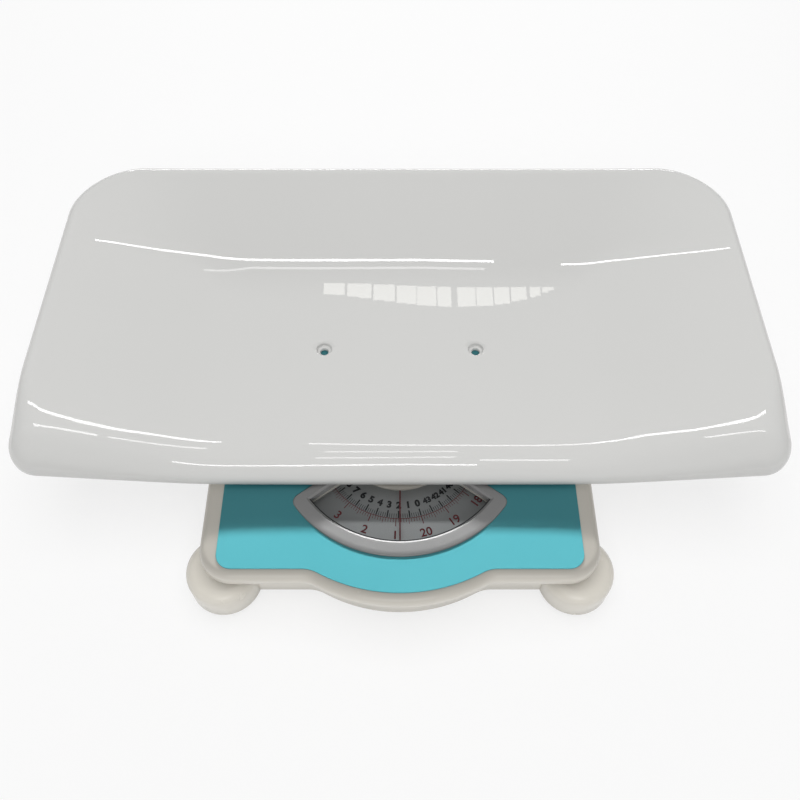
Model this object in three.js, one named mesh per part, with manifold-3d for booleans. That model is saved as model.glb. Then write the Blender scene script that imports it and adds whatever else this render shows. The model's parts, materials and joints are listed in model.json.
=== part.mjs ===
// Mechanical baby scale: spring-and-lever weighing base with a rotating dial, and a long shallow pan on top.
// Millimetres, Z up, origin on the floor under the middle of the whole outline, front towards -Y.
// Sub-parts are drawn about the middle of the base and shifted together at the end.
import * as THREE from 'three';
import { ParametricGeometry } from 'three/addons/geometries/ParametricGeometry.js';
import { mergeVertices } from 'three/addons/utils/BufferGeometryUtils.js';
import Module from 'manifold-3d';

const wasm = await Module();
wasm.setup();

// ---- clearances
const seatGap = 0.3;
const runGap = 0.6;
const cutOver = 1;
const weldGap = 0.0001;

// ---- platform's plan, which the housing, the levers and the dial follow
const platformHalfWide = 139.5;
const platformHalfDeep = 137;
const lobeFromSide = 12.5;
const lobeFromEnd = 17;
const pivotFromSide = 31.5;
const fulcrumFromEnd = 25;
const dialFromEnd = 107.5;

// ---- base housing and feet
const footThick = 4;
const footRadius = 12;
const footEdge = 1.5;
const footPegRadius = 4;
const footPegReach = 2;
const housingWall = 2.4;
const housingTop = 36;
const housingSetback = 10;
const lobeRadius = 26;
const lobeCentreX = platformHalfWide - lobeFromSide;
const lobeCentreY = platformHalfDeep - lobeFromEnd;
const lobeTop = 33;
const lobeRound = 9;
const floorRibThick = 2;
const floorRibHigh = 3;
const floorRibFromEnd = 53;
const floorRibReach = platformHalfDeep - floorRibFromEnd;
const floorRibFromSide = 77.5;
const floorRibOff = platformHalfWide - floorRibFromSide;

// ---- platform
const platformCorner = 24;
const leastCorner = 1.5;
const platformTop = 54;
const platformSkin = 2.5;
const platformRim = 42;
const platformRound = 6;
const skirtThick = 2.4;
const bulgeRadius = 124.5;
const bulgeFillet = 16;
const sheetInset = 6.5;
const sheetSideInset = 13;
const sheetThick = 0.5;
const postWide = 12;
const postDeep = 8;
const postWall = 2;
const ribThick = 2;
const ribHigh = 5;
const ribFromSide = 44.5;
const ribOff = platformHalfWide - ribFromSide;
const ribFromEnd = 17;
const ribReach = platformHalfDeep - ribFromEnd;

// ---- dial, window and lens
const dialY = dialFromEnd - platformHalfDeep;
const dialRadius = 86;
const dialThick = 0.8;
const dialUnder = 42.6;
const dialHoleRadius = 4;
const windowOuter = 81;
const windowInner = 42.5;
const windowHalfDeg = 53;
const bezelWide = 12.5;
const bezelSideWide = 8;
const bezelCorner = 7;
const bezelThick = 2;
const liningThick = 1.6;
const liningDrop = 4.2;
const lensThick = 1.4;
const collarThick = 2;
const ledgeThick = 1.3;
const hubCoverRadius = 41.6;
const hubCoverThick = 2.2;
const hubCoverRound = 1.2;
const hubSpigotRadius = 10;
const hubSpigotDrop = 1.6;
const lineWide = 0.8;
const lineThick = 0.4;

// ---- lever work
const cornerX = platformHalfWide - pivotFromSide;
const fulcrumY = platformHalfDeep - fulcrumFromEnd;
const loadArm = 22;
const pivotZ = 24;
const pinRadius = 2;
const armWide = 10;
const armHigh = 8;
const armWall = 1.8;
const armOverhang = 7;
const armStraight = 34;
const noseFromEnd = 19;
const noseY = platformHalfDeep - noseFromEnd;
const noseWide = 8;
const noseHigh = 4;
const noseOverhang = 5;
const tieBarFromEnd = 91;
const tieBarY = platformHalfDeep - tieBarFromEnd;
const tieBarWide = 8;
const earThick = 2;
const earWide = 14;
const earRise = 3;
const bracketFlange = 9;
const linkThick = 1.6;
const linkWide = 7;
const linkPinRadius = 1.5;
const linkUpperZ = 27;
const linkLowerZ = 20;
const linkGap = 1;
const linkSideGap = 0.43;
const platformTravel = 0.6;

// ---- main spring, nose plate, zero wheel
const springFromEnd = 6;
const springY = springFromEnd - platformHalfDeep;
const springRadius = 5;
const springWire = 0.8;
const springPitch = 2.4;
const springTurns = 5;
const nosePlateThick = 2;
const nosePlateHalfWide = 9;
const nosePlateTop = 31;
const nosePlateFoot = 14;
const noseLipReach = 17;
const noseLipThick = 2;
const springPlugRadius = 3.6;
const springPlugHigh = 3;
const zeroScrewRadius = 2.5;
const zeroScrewTop = 41;
const zeroPlugHigh = 3.5;
const zeroWheelRadius = 18.5;
const zeroWheelThick = 3;
const zeroWheelNotch = 0.7;
const zeroNotchRadius = 1.1;
const zeroSlotInset = 1.5;
const zeroSlotDrop = 1.5;
const bridgePlateThick = 2;
const bridgePlateTop = 35;
const bridgeHalfWide = 27;
const bridgePastEnd = 1;
const bridgeFront = -platformHalfDeep - bridgePastEnd;
const bridgeDeep = 30;
const bridgeBack = bridgeFront + bridgeDeep;
const bridgeFlangeDeep = 12;

// ---- bell crank, rack, pinion
const swingHalfDeg = 25;
const dialSweepDeg = 348.3;
const crankFromEnd = 23.5;
const crankY = crankFromEnd - platformHalfDeep;
const crankZ = 17.5;
const crankHubRadius = 3.4;
const crankPinRadius = 1.5;
const crankThick = 2.5;
const crankOuterX = -21.5;
const crankInnerX = -12.5;
const crankTipRadius = 2.5;
const crankHeadRadius = 1.9;
const rackPinRadius = 1;
const toothModule = 0.5;
const pinionTeeth = 12;
const toothTipShare = 0.34;
const toothRootShare = 0.62;
const toothAddendumShare = 0.8;
const toothDedendumShare = 1.25;
const pinionThick = 3;
const pinionUnder = 36.4;
const shaftRadius = 1.8;
const shaftFoot = 24;
const shaftTop = 45.5;
const shaftFlangeRadius = 7;
const shaftFlangeThick = 1.2;
const shaftCollarRadius = 3.4;
const shaftCollarThick = 2;
const dialNutRadius = 5;
const dialNutThick = 1.6;
const rackThick = 1.8;
const rackWide = 4;
const rackBack = 16;
const rackBendFromDial = 32.5;
const rackBendY = dialY - rackBendFromDial;
const rackTabThick = 1.5;
const rackTabHalf = 3.4;
const rackTabFoot = 34.6;
const rackTabTop = 41.4;
const crankSpringRadius = 2.4;
const crankSpringWire = 0.4;
const crankSpringTurns = 4;
const dialBridgeHalf = 27;
const dialBridgeWide = 16;
const dialBridgeTop = 33;
const dialBridgeThick = 2;
const dialBridgeFlange = 10;
const guideHigh = 7;
const guideThick = 1.6;

// ---- pan
const panHalfWide = 277;
const panDeep = 290;
const panFrontFromDial = 38.5;
const panFront = dialY - panFrontFromDial;
const panBack = panFront + panDeep;
const panWall = 3;
const panFloor = 61;
const panRise = 38;
const panFrontRise = 10;
const panLowFromFront = 98;
const panLowY = panFront + panLowFromFront;
const panCreaseFromBack = 84;
const panCreaseY = panBack - panCreaseFromBack;
const panCreaseRise = 4;
const panCreaseSoft = 8;
const panFlatHalf = 147;
const panFlareSoft = 20;
const panCornerBack = 57;
const panCornerFront = 21;
const panFrontWrap = 80;
const panLipFront = 30;
const panLipEnd = 9;
const panLipBack = 10;
const panDropFront = 12;
const panDropCorner = 24;
const panDropEnd = 8;
const panDropBack = 9;
const panEdgeDown = 2;
const panEdgeDownEnd = 5;
const panHoleX = 60;
const panHoleFromFront = 118;
const panHoleY = panFront + panHoleFromFront;
const panHoleRadius = 3.35;
const panSinkRadius = 5.8;
const panSinkDeep = 3;
const panBossRadius = 9;
const panPadFromFront = 46;
const panPadY = panFront + panPadFromFront;
const panPadRadius = 7;
const panPadSink = 1.5;
const panFrontShare = 2;
const panCornerShare = 3;
const panSteepShare = 0.3;

// ---- derived levels
const sheetTop = platformTop + seatGap + sheetThick;
const housingFloor = footThick + seatGap;
const housingFloorTop = housingFloor + housingWall;
const bracketSeat = housingFloorTop + seatGap;
const dialTop = dialUnder + dialThick;
const bezelSeat = platformTop + seatGap;
const liningFoot = platformTop - liningDrop;
const lensTop = liningFoot - seatGap;
const lensUnder = lensTop - lensThick;
const ledgeTop = lensUnder - seatGap;
const ledgeUnder = ledgeTop - ledgeThick;
const noseTravel = platformTravel * (fulcrumY + noseY) / loadArm;
const pinionRadius = toothModule * pinionTeeth / 2;
const rackTravel = THREE.MathUtils.degToRad(dialSweepDeg) * pinionRadius;
const swingSin = Math.sin(THREE.MathUtils.degToRad(swingHalfDeg));
const crankShort = noseTravel / (2 * swingSin);
const crankLong = rackTravel / (2 * swingSin);

// ---- small tools: each returns a closed solid
function solidOf(geometry) {
  const plain = geometry.index ? geometry.toNonIndexed() : geometry.clone();
  plain.deleteAttribute('normal');
  plain.deleteAttribute('uv');
  const merged = mergeVertices(plain, weldGap);
  const index = merged.index.array;
  const kept = [];
  for (let i = 0; i < index.length; i += 3) {
    const a = index[i];
    const b = index[i + 1];
    const c = index[i + 2];
    if (a !== b && b !== c && a !== c) {
      kept.push(a, b, c);
    }
  }
  const vertProperties = new Float32Array(merged.attributes.position.array);
  const triVerts = new Uint32Array(kept);
  const solid = new wasm.Manifold(new wasm.Mesh({ numProp: 3, vertProperties, triVerts }));
  return solid;
}

function boxAt(x0, x1, y0, y1, z0, z1) {
  const geometry = new THREE.BoxGeometry(x1 - x0, y1 - y0, z1 - z0);
  geometry.translate((x0 + x1) / 2, (y0 + y1) / 2, (z0 + z1) / 2);
  return solidOf(geometry);
}

function rodZ(radius, x, y, z0, z1, sides = 16) {
  const geometry = new THREE.CylinderGeometry(radius, radius, z1 - z0, sides);
  geometry.rotateX(Math.PI / 2);
  geometry.translate(x, y, (z0 + z1) / 2);
  return solidOf(geometry);
}

function rodX(radius, x0, x1, y, z, sides = 12) {
  const geometry = new THREE.CylinderGeometry(radius, radius, x1 - x0, sides);
  geometry.rotateZ(Math.PI / 2);
  geometry.translate((x0 + x1) / 2, y, z);
  return solidOf(geometry);
}

function slabOf(shape, z0, z1, segments = 4) {
  const geometry = new THREE.ExtrudeGeometry(shape, {
    depth: z1 - z0,
    bevelEnabled: false,
    curveSegments: segments,
  });
  geometry.translate(0, 0, z0);
  return solidOf(geometry);
}

function roundedSlab(shape, z0, z1, round, steps, segments = 4) {
  const geometry = new THREE.ExtrudeGeometry(shape, {
    depth: z1 - z0,
    bevelEnabled: true,
    bevelThickness: round,
    bevelSize: round,
    bevelOffset: 0,
    bevelSegments: steps,
    curveSegments: segments,
  });
  geometry.translate(0, 0, z0);
  return solidOf(geometry);
}

function latheOf(points, x, y, sides = 32) {
  const geometry = new THREE.LatheGeometry(points.map((p) => new THREE.Vector2(p[0], p[1])), sides);
  geometry.rotateX(Math.PI / 2);
  geometry.translate(x, y, 0);
  return solidOf(geometry);
}

function plateYZ(points, x0, x1) {
  const shape = new THREE.Shape(points.map((p) => new THREE.Vector2(p[0], p[1])));
  const geometry = new THREE.ExtrudeGeometry(shape, { depth: x1 - x0, bevelEnabled: false });
  const turn = new THREE.Matrix4().makeBasis(
    new THREE.Vector3(0, 1, 0), new THREE.Vector3(0, 0, 1), new THREE.Vector3(1, 0, 0));
  geometry.applyMatrix4(turn);
  geometry.translate(x0, 0, 0);
  return solidOf(geometry);
}

function joined(list) {
  let whole = list[0];
  for (const piece of list.slice(1)) {
    whole = whole.add(piece);
  }
  return whole;
}

function material(colour, roughness, metalness) {
  return () => new THREE.MeshStandardMaterial({ color: colour, roughness, metalness });
}

const panPlastic = material(0xe2e2df, 0.12, 0);
const creamPlastic = material(0xded6cb, 0.32, 0);
const tealSheet = material(0x5cc0cc, 0.38, 0);
const silverPlastic = material(0xb4b5b6, 0.3, 0.1);
const clearPlastic = material(0xdfe6e8, 0.05, 0);
const dialPaint = material(0xd9dadb, 0.45, 0);
const redPaint = material(0x8c2a2e, 0.4, 0);
const zincSteel = material(0xa9adb1, 0.38, 1);
const springSteel = material(0x7f8388, 0.3, 1);
const brass = material(0xb08d4c, 0.3, 1);
const blackRubber = material(0x232425, 0.75, 0);
const darkPlastic = material(0x2b2d30, 0.45, 0);

const part = new THREE.Group();
part.name = 'mechanical_baby_scale';
const assembly = new THREE.Group();
assembly.name = 'scale_assembly';
assembly.position.y = -(panBack + dialY - bulgeRadius) / 2;
part.add(assembly);

function node(name, solid, makeMaterial) {
  const source = solid.getMesh();
  const geometry = new THREE.BufferGeometry();
  geometry.setAttribute('position', new THREE.BufferAttribute(new Float32Array(source.vertProperties), 3));
  geometry.setIndex(new THREE.BufferAttribute(new Uint32Array(source.triVerts), 1));
  geometry.computeVertexNormals();
  const mesh = new THREE.Mesh(geometry, makeMaterial());
  mesh.name = name;
  assembly.add(mesh);
  return mesh;
}

// ---- outlines
// Rounded square with a front bulge concentric with the dial, drawn inwards by an inset.
function baseOutline(inset, sideInset = inset) {
  const halfX = platformHalfWide - sideInset;
  const halfY = platformHalfDeep - inset;
  const corner = Math.max(platformCorner - sideInset, leastCorner);
  const bulge = bulgeRadius - inset;
  const fillet = bulgeFillet + inset;
  const drop = halfY + fillet + dialY;
  const reach = bulge + fillet;
  const filletX = Math.sqrt(reach * reach - drop * drop);
  const meetAngle = Math.atan2(-drop, filletX);
  const shape = new THREE.Shape();
  shape.moveTo(filletX, -halfY);
  shape.lineTo(halfX - corner, -halfY);
  shape.absarc(halfX - corner, -halfY + corner, corner, -Math.PI / 2, 0, false);
  shape.lineTo(halfX, halfY - corner);
  shape.absarc(halfX - corner, halfY - corner, corner, 0, Math.PI / 2, false);
  shape.lineTo(-halfX + corner, halfY);
  shape.absarc(-halfX + corner, halfY - corner, corner, Math.PI / 2, Math.PI, false);
  shape.lineTo(-halfX, -halfY + corner);
  shape.absarc(-halfX + corner, -halfY + corner, corner, Math.PI, Math.PI * 1.5, false);
  shape.lineTo(-filletX, -halfY);
  shape.absarc(-filletX, -halfY - fillet, fillet, Math.PI / 2, -meetAngle, true);
  const bulgeArcs = 3;
  const bulgeSweep = (Math.PI + meetAngle * 2) / bulgeArcs;
  for (let i = 0; i < bulgeArcs; i += 1) {
    const start = Math.PI - meetAngle + bulgeSweep * i;
    shape.absarc(0, dialY, bulge, start, start + bulgeSweep, false);
  }
  shape.absarc(filletX, -halfY - fillet, fillet, Math.PI + meetAngle, Math.PI / 2, true);
  return shape;
}

// Annular sector about the dial centre that opens to the front, grown outwards by an offset.
function sectorShape(inner, outer, halfDeg, offset, sideOffset, corner) {
  const half = THREE.MathUtils.degToRad(halfDeg);
  const r0 = inner - offset;
  const r1 = outer + offset;
  const steps = 18;
  const side0 = half + Math.asin(sideOffset / r0);
  const side1 = half + Math.asin(sideOffset / r1);
  const trim = corner / r1;
  const points = [];
  const at = (r, a) => new THREE.Vector2(r * Math.sin(a), dialY - r * Math.cos(a));
  const sideAt = (r) => half + Math.asin(sideOffset / r);
  for (let i = 0; i <= steps; i += 1) {
    points.push(at(r1, -side1 + trim + (side1 - trim) * 2 * i / steps));
  }
  if (corner > 0) {
    const c0 = at(r1, side1 - trim);
    const c1 = at(r1, side1);
    const c2 = at(r1 - corner, sideAt(r1 - corner));
    const bend = new THREE.QuadraticBezierCurve(c0, c1, c2).getPoints(4);
    points.push(...bend.slice(1));
  }
  points.push(at(r0, side0));
  const innerSteps = 10;
  for (let i = 1; i <= innerSteps; i += 1) {
    points.push(at(r0, side0 - side0 * 2 * i / innerSteps));
  }
  if (corner > 0) {
    const c0 = at(r1 - corner, -sideAt(r1 - corner));
    const c1 = at(r1, -side1);
    const c2 = at(r1, -side1 + trim);
    const bend = new THREE.QuadraticBezierCurve(c0, c1, c2).getPoints(4);
    points.push(...bend.slice(0, -1));
  }
  return new THREE.Shape(points);
}

// Rounded rod of wire wound about Z, ends straight for one wire diameter.
function coilOf(name, x, y, zStart, radius, wire, pitch, turns) {
  const steps = 8;
  const points = [];
  const count = Math.round(turns * steps);
  const along = (i) => {
    const a = i * 2 * Math.PI / steps;
    return new THREE.Vector3(x + radius * Math.cos(a), y + radius * Math.sin(a), zStart + pitch * i / steps);
  };
  const first = along(0);
  const second = along(1);
  const last = along(count);
  const beforeLast = along(count - 1);
  const lead = first.clone().sub(second).normalize().multiplyScalar(2 * wire);
  const tail = last.clone().sub(beforeLast).normalize().multiplyScalar(2 * wire);
  points.push(first.clone().add(lead));
  for (let i = 0; i <= count; i += 1) {
    points.push(along(i));
  }
  points.push(last.clone().add(tail));
  let least = Infinity;
  for (let i = 0; i < points.length; i += 1) {
    for (let j = i + 4; j < points.length; j += 1) {
      least = Math.min(least, points[i].distanceTo(points[j]) - 2 * wire);
    }
  }
  console.log(`${name}: least gap of the wire to itself ${least.toFixed(2)} mm`);
  const curve = new THREE.CatmullRomCurve3(points, false, 'centripetal');
  const ring = [];
  for (let k = 0; k < 5; k += 1) {
    const a = k * 2 * Math.PI / 5;
    ring.push(new THREE.Vector2(wire * Math.cos(a), wire * Math.sin(a)));
  }
  const section = new THREE.Shape(ring);
  const geometry = new THREE.ExtrudeGeometry(section, {
    steps: points.length - 1,
    bevelEnabled: false,
    extrudePath: curve,
  });
  return solidOf(geometry);
}

// ---- base housing: pressed tray with a domed round ear at each corner
function domedLobe(x, y, radius, z0, z1, round) {
  const profile = [[0, z0], [radius, z0], [radius, z1 - round]];
  const steps = 3;
  for (let i = 1; i <= steps; i += 1) {
    const a = Math.PI / 2 * i / steps;
    profile.push([radius - round + round * Math.cos(a), z1 - round + round * Math.sin(a)]);
  }
  profile.push([0, z1]);
  return latheOf(profile, x, y, 20);
}

function makeHousing() {
  const outer = [slabOf(baseOutline(housingSetback), housingFloor, housingTop)];
  const inner = [slabOf(baseOutline(housingSetback + housingWall), housingFloorTop, housingTop + cutOver)];
  for (const sx of [-1, 1]) {
    for (const sy of [-1, 1]) {
      const x = sx * lobeCentreX;
      const y = sy * lobeCentreY;
      outer.push(domedLobe(x, y, lobeRadius, housingFloor, lobeTop, lobeRound));
      inner.push(domedLobe(x, y, lobeRadius - housingWall, housingFloorTop,
        lobeTop - housingWall, lobeRound - housingWall));
    }
  }
  const slotHalf = zeroWheelRadius - zeroSlotInset;
  const slotFloor = bridgePlateTop - zeroSlotDrop;
  const wheelSlot = boxAt(-slotHalf, slotHalf, -platformHalfDeep - bulgeFillet, springY, slotFloor,
    housingTop + cutOver);
  let housing = joined(outer).subtract(joined(inner)).subtract(wheelSlot);
  for (const sx of [-1, 1]) {
    const x = sx * floorRibOff;
    const rib = boxAt(x - floorRibThick / 2, x + floorRibThick / 2, -floorRibReach, floorRibReach,
      housingFloor, housingFloorTop + floorRibHigh);
    housing = housing.add(rib);
    for (const sy of [-1, 1]) {
      const peg = rodZ(footPegRadius + seatGap, sx * lobeCentreX, sy * lobeCentreY,
        housingFloor - cutOver, housingFloorTop + cutOver);
      housing = housing.subtract(peg);
    }
  }
  return node('base_housing', housing, creamPlastic);
}

function makeFoot(sx, sy, name) {
  const rise = footPegReach + housingWall;
  const profile = [
    [0, 0], [footRadius - footEdge, 0], [footRadius, footEdge], [footRadius, footThick],
    [footPegRadius, footThick], [footPegRadius, footThick + rise], [0, footThick + rise],
  ];
  return node(name, latheOf(profile, sx * lobeCentreX, sy * lobeCentreY, 14), blackRubber);
}

// ---- platform: rounded lid with a skirt, window collar, ribs and four corner posts
function makePlatform() {
  const top = roundedSlab(baseOutline(platformRound), platformRim - platformRound,
    platformTop - platformRound, platformRound, 3);
  const under = boxAt(-platformHalfWide * 2, platformHalfWide * 2, -platformHalfDeep * 2, platformHalfDeep * 2,
    platformRim - platformRound * 3, platformRim);
  const innerRound = platformRound - skirtThick;
  const hollow = roundedSlab(baseOutline(platformRound), platformRim - platformRound * 2,
    platformTop - platformSkin - innerRound, innerRound, 2);
  let lid = top.subtract(under).subtract(hollow);
  const collar = slabOf(sectorShape(windowInner, windowOuter, windowHalfDeg,
    liningThick + seatGap + collarThick, liningThick + seatGap + collarThick, 0),
    ledgeUnder, platformTop - platformSkin / 2);
  const well = slabOf(sectorShape(windowInner, windowOuter, windowHalfDeg,
    liningThick + seatGap, liningThick + seatGap, 0), ledgeTop, platformTop + cutOver);
  const sight = slabOf(sectorShape(windowInner, windowOuter, windowHalfDeg, 0, 0, 0),
    ledgeUnder - cutOver, platformTop + cutOver);
  const spigot = rodZ(hubSpigotRadius + seatGap, 0, dialY, platformTop - platformSkin - cutOver,
    platformTop + cutOver, 20);
  lid = lid.add(collar).subtract(well).subtract(sight).subtract(spigot);
  const ribTop = platformTop - platformSkin / 2;
  const ribFoot = ribTop - platformSkin / 2 - ribHigh;
  for (const s of [-1, 1]) {
    const x = s * ribOff;
    lid = lid.add(boxAt(x - ribThick / 2, x + ribThick / 2, -ribReach, ribReach, ribFoot, ribTop));
    if (s > 0) {
      lid = lid.add(boxAt(-ribOff, ribOff, ribOff - ribThick / 2, ribOff + ribThick / 2, ribFoot, ribTop));
    }
  }
  for (const sx of [-1, 1]) {
    for (const sy of [-1, 1]) {
      const x = sx * cornerX;
      const y = sy * (fulcrumY - loadArm);
      const post = boxAt(x - postWide, x + postWide, y - postDeep, y + postDeep, pivotZ - pinRadius, ribTop);
      const core = boxAt(x - postWide + postWall, x + postWide - postWall, y - postDeep - cutOver,
        y + postDeep + cutOver, pivotZ - pinRadius - cutOver, ribFoot + postWall);
      const saddle = rodX(pinRadius + seatGap, x - postWide - cutOver, x + postWide + cutOver, y, pivotZ);
      const throat = boxAt(x - postWide - cutOver, x + postWide + cutOver, y - pinRadius - seatGap,
        y + pinRadius + seatGap, pivotZ - pinRadius * 2, pivotZ);
      lid = lid.add(post.subtract(core).subtract(saddle).subtract(throat));
    }
  }
  return node('platform', lid, creamPlastic);
}

function makeSheet() {
  const grow = seatGap;
  const z0 = platformTop + seatGap;
  const whole = slabOf(baseOutline(sheetInset, sheetSideInset), z0, z0 + sheetThick, 5);
  const frame = slabOf(sectorShape(windowInner, windowOuter + bezelWide, windowHalfDeg,
    grow, bezelSideWide + grow, bezelCorner), z0 - cutOver, z0 + cutOver * 2);
  const hub = rodZ(hubCoverRadius + grow * 3, 0, dialY, z0 - cutOver, z0 + cutOver * 2, 36);
  return node('top_sheet', whole.subtract(frame).subtract(hub), tealSheet);
}

// ---- window: sloped C-shaped bezel with a lining, lens, reading line and hub cover
function makeBezel() {
  const top = roundedSlab(sectorShape(windowInner, windowOuter + bezelWide, windowHalfDeg,
    -bezelThick / 2, bezelSideWide - bezelThick / 2, bezelCorner),
    bezelSeat - bezelThick, bezelSeat + bezelThick / 2, bezelThick / 2, 3);
  const below = boxAt(-platformHalfWide, platformHalfWide, -platformHalfDeep, platformHalfDeep,
    bezelSeat - bezelThick * 3, bezelSeat);
  const lining = slabOf(sectorShape(windowInner, windowOuter, windowHalfDeg, liningThick, liningThick, 0),
    liningFoot, bezelSeat + bezelThick / 4);
  const sight = slabOf(sectorShape(windowInner - bezelWide, windowOuter, windowHalfDeg, 0, 0, 0),
    liningFoot - cutOver, bezelSeat + bezelThick * 2);
  const splay = sectorShape(windowInner - bezelWide, windowOuter + bezelThick, windowHalfDeg, 0, bezelThick, 0);
  const step = slabOf(splay, bezelSeat + bezelThick / 2, bezelSeat + bezelThick * 2);
  const hub = rodZ(hubCoverRadius + seatGap * 3, 0, dialY, liningFoot - cutOver, bezelSeat + bezelThick * 2, 36);
  return node('window_bezel', top.subtract(below).add(lining).subtract(sight).subtract(step).subtract(hub),
    silverPlastic);
}

function makeLens() {
  const shape = sectorShape(windowInner, windowOuter, windowHalfDeg, liningThick, liningThick, 0);
  return node('window_lens', slabOf(shape, lensUnder, lensTop), clearPlastic);
}

function makeReadingLine() {
  const z1 = lensUnder - seatGap / 2;
  const y0 = dialY - windowOuter + seatGap;
  const y1 = dialY - windowInner - seatGap;
  return node('reading_line', boxAt(-lineWide / 2, lineWide / 2, y0, y1, z1 - lineThick, z1), redPaint);
}

function makeHubCover() {
  const z0 = platformTop + seatGap;
  const z1 = z0 + hubCoverThick;
  const r = hubCoverRadius;
  const profile = [[0, z0 - hubSpigotDrop], [hubSpigotRadius, z0 - hubSpigotDrop], [hubSpigotRadius, z0], [r, z0]];
  for (let i = 0; i <= 3; i += 1) {
    const a = Math.PI / 2 * i / 3;
    const inwards = hubCoverRound * (1 - Math.cos(a));
    profile.push([r - inwards, z1 - hubCoverRound + hubCoverRound * Math.sin(a)]);
  }
  profile.push([0, z1]);
  return node('dial_hub_cover', latheOf(profile, 0, dialY, 30), creamPlastic);
}

// ---- dial train
function makeDial() {
  const disc = rodZ(dialRadius, 0, dialY, dialUnder, dialTop, 56);
  const hole = rodZ(dialHoleRadius, 0, dialY, dialUnder - cutOver, dialTop + cutOver);
  return node('dial_disc', disc.subtract(hole),
    dialPaint);
}

function pinionShape() {
  const points = [];
  const pitchRadius = pinionRadius;
  const tip = pitchRadius + toothModule * toothAddendumShare;
  const root = pitchRadius - toothModule * toothDedendumShare;
  const pitchDeg = 360 / pinionTeeth;
  for (let k = 0; k < pinionTeeth; k += 1) {
    const mid = (k + 0.5) * pitchDeg;
    const rootHalf = pitchDeg / 2 * toothRootShare;
    const tipHalf = pitchDeg / 2 * toothTipShare;
    for (const [r, a] of [[root, -rootHalf], [tip, -tipHalf], [tip, tipHalf], [root, rootHalf]]) {
      const angle = THREE.MathUtils.degToRad(mid + a);
      points.push(new THREE.Vector2(r * Math.cos(angle), dialY + r * Math.sin(angle)));
    }
  }
  return new THREE.Shape(points);
}

function makeDialShaft() {
  const bridgeTop = dialBridgeTop + seatGap;
  const bridgeUnder = dialBridgeTop - dialBridgeThick - seatGap;
  const rod = rodZ(shaftRadius, 0, dialY, shaftFoot, shaftTop, 12);
  const collar = rodZ(shaftCollarRadius, 0, dialY, bridgeTop, bridgeTop + shaftCollarThick, 12);
  const clip = rodZ(shaftCollarRadius, 0, dialY, bridgeUnder - shaftCollarThick / 2, bridgeUnder, 12);
  const pinion = slabOf(pinionShape(), pinionUnder, pinionUnder + pinionThick);
  const flangeTop = dialUnder - seatGap;
  const flange = rodZ(shaftFlangeRadius, 0, dialY, flangeTop - shaftFlangeThick, flangeTop);
  return node('dial_shaft', joined([rod, collar, clip, pinion, flange]), brass);
}

function makeDialNut() {
  const z0 = dialTop + seatGap;
  const nut = rodZ(dialNutRadius, 0, dialY, z0, z0 + dialNutThick, 6);
  const bore = rodZ(shaftRadius + seatGap, 0, dialY, z0 - cutOver, z0 + dialNutThick + cutOver);
  return node('dial_nut', nut.subtract(bore), brass);
}

function makeDialBridge() {
  const t = dialBridgeThick;
  const y0 = dialY - dialBridgeWide / 2;
  const y1 = dialY + dialBridgeWide / 2;
  const plate = boxAt(-dialBridgeHalf, dialBridgeHalf, y0, y1, dialBridgeTop - t, dialBridgeTop);
  const pieces = [plate];
  for (const s of [-1, 1]) {
    const x0 = s < 0 ? -dialBridgeHalf : dialBridgeHalf - t;
    pieces.push(boxAt(x0, x0 + t, y0, y1, bracketSeat, dialBridgeTop));
    const f0 = s < 0 ? -dialBridgeHalf - dialBridgeFlange : dialBridgeHalf - t;
    pieces.push(boxAt(f0, f0 + dialBridgeFlange + t, y0, y1, bracketSeat, bracketSeat + t));
  }
  const rackOuter = rackToothX() - rackWide - seatGap;
  const guide = boxAt(rackOuter - guideThick, rackOuter, y0, y1, dialBridgeTop - t / 2, dialBridgeTop + guideHigh);
  pieces.push(guide);
  const bore = rodZ(shaftRadius + seatGap, 0, dialY, dialBridgeTop - t * 2, dialBridgeTop + cutOver);
  return node('dial_bridge', joined(pieces).subtract(bore), zincSteel);
}

// ---- rack: bar with teeth at the back and a slotted tab at the front
function rackToothX() {
  return -pinionRadius - toothModule * toothDedendumShare;
}

function crankTip(angleDeg) {
  const a = THREE.MathUtils.degToRad(angleDeg);
  return { y: crankY + crankLong * Math.sin(a), z: crankZ + crankLong * Math.cos(a) };
}

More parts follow.
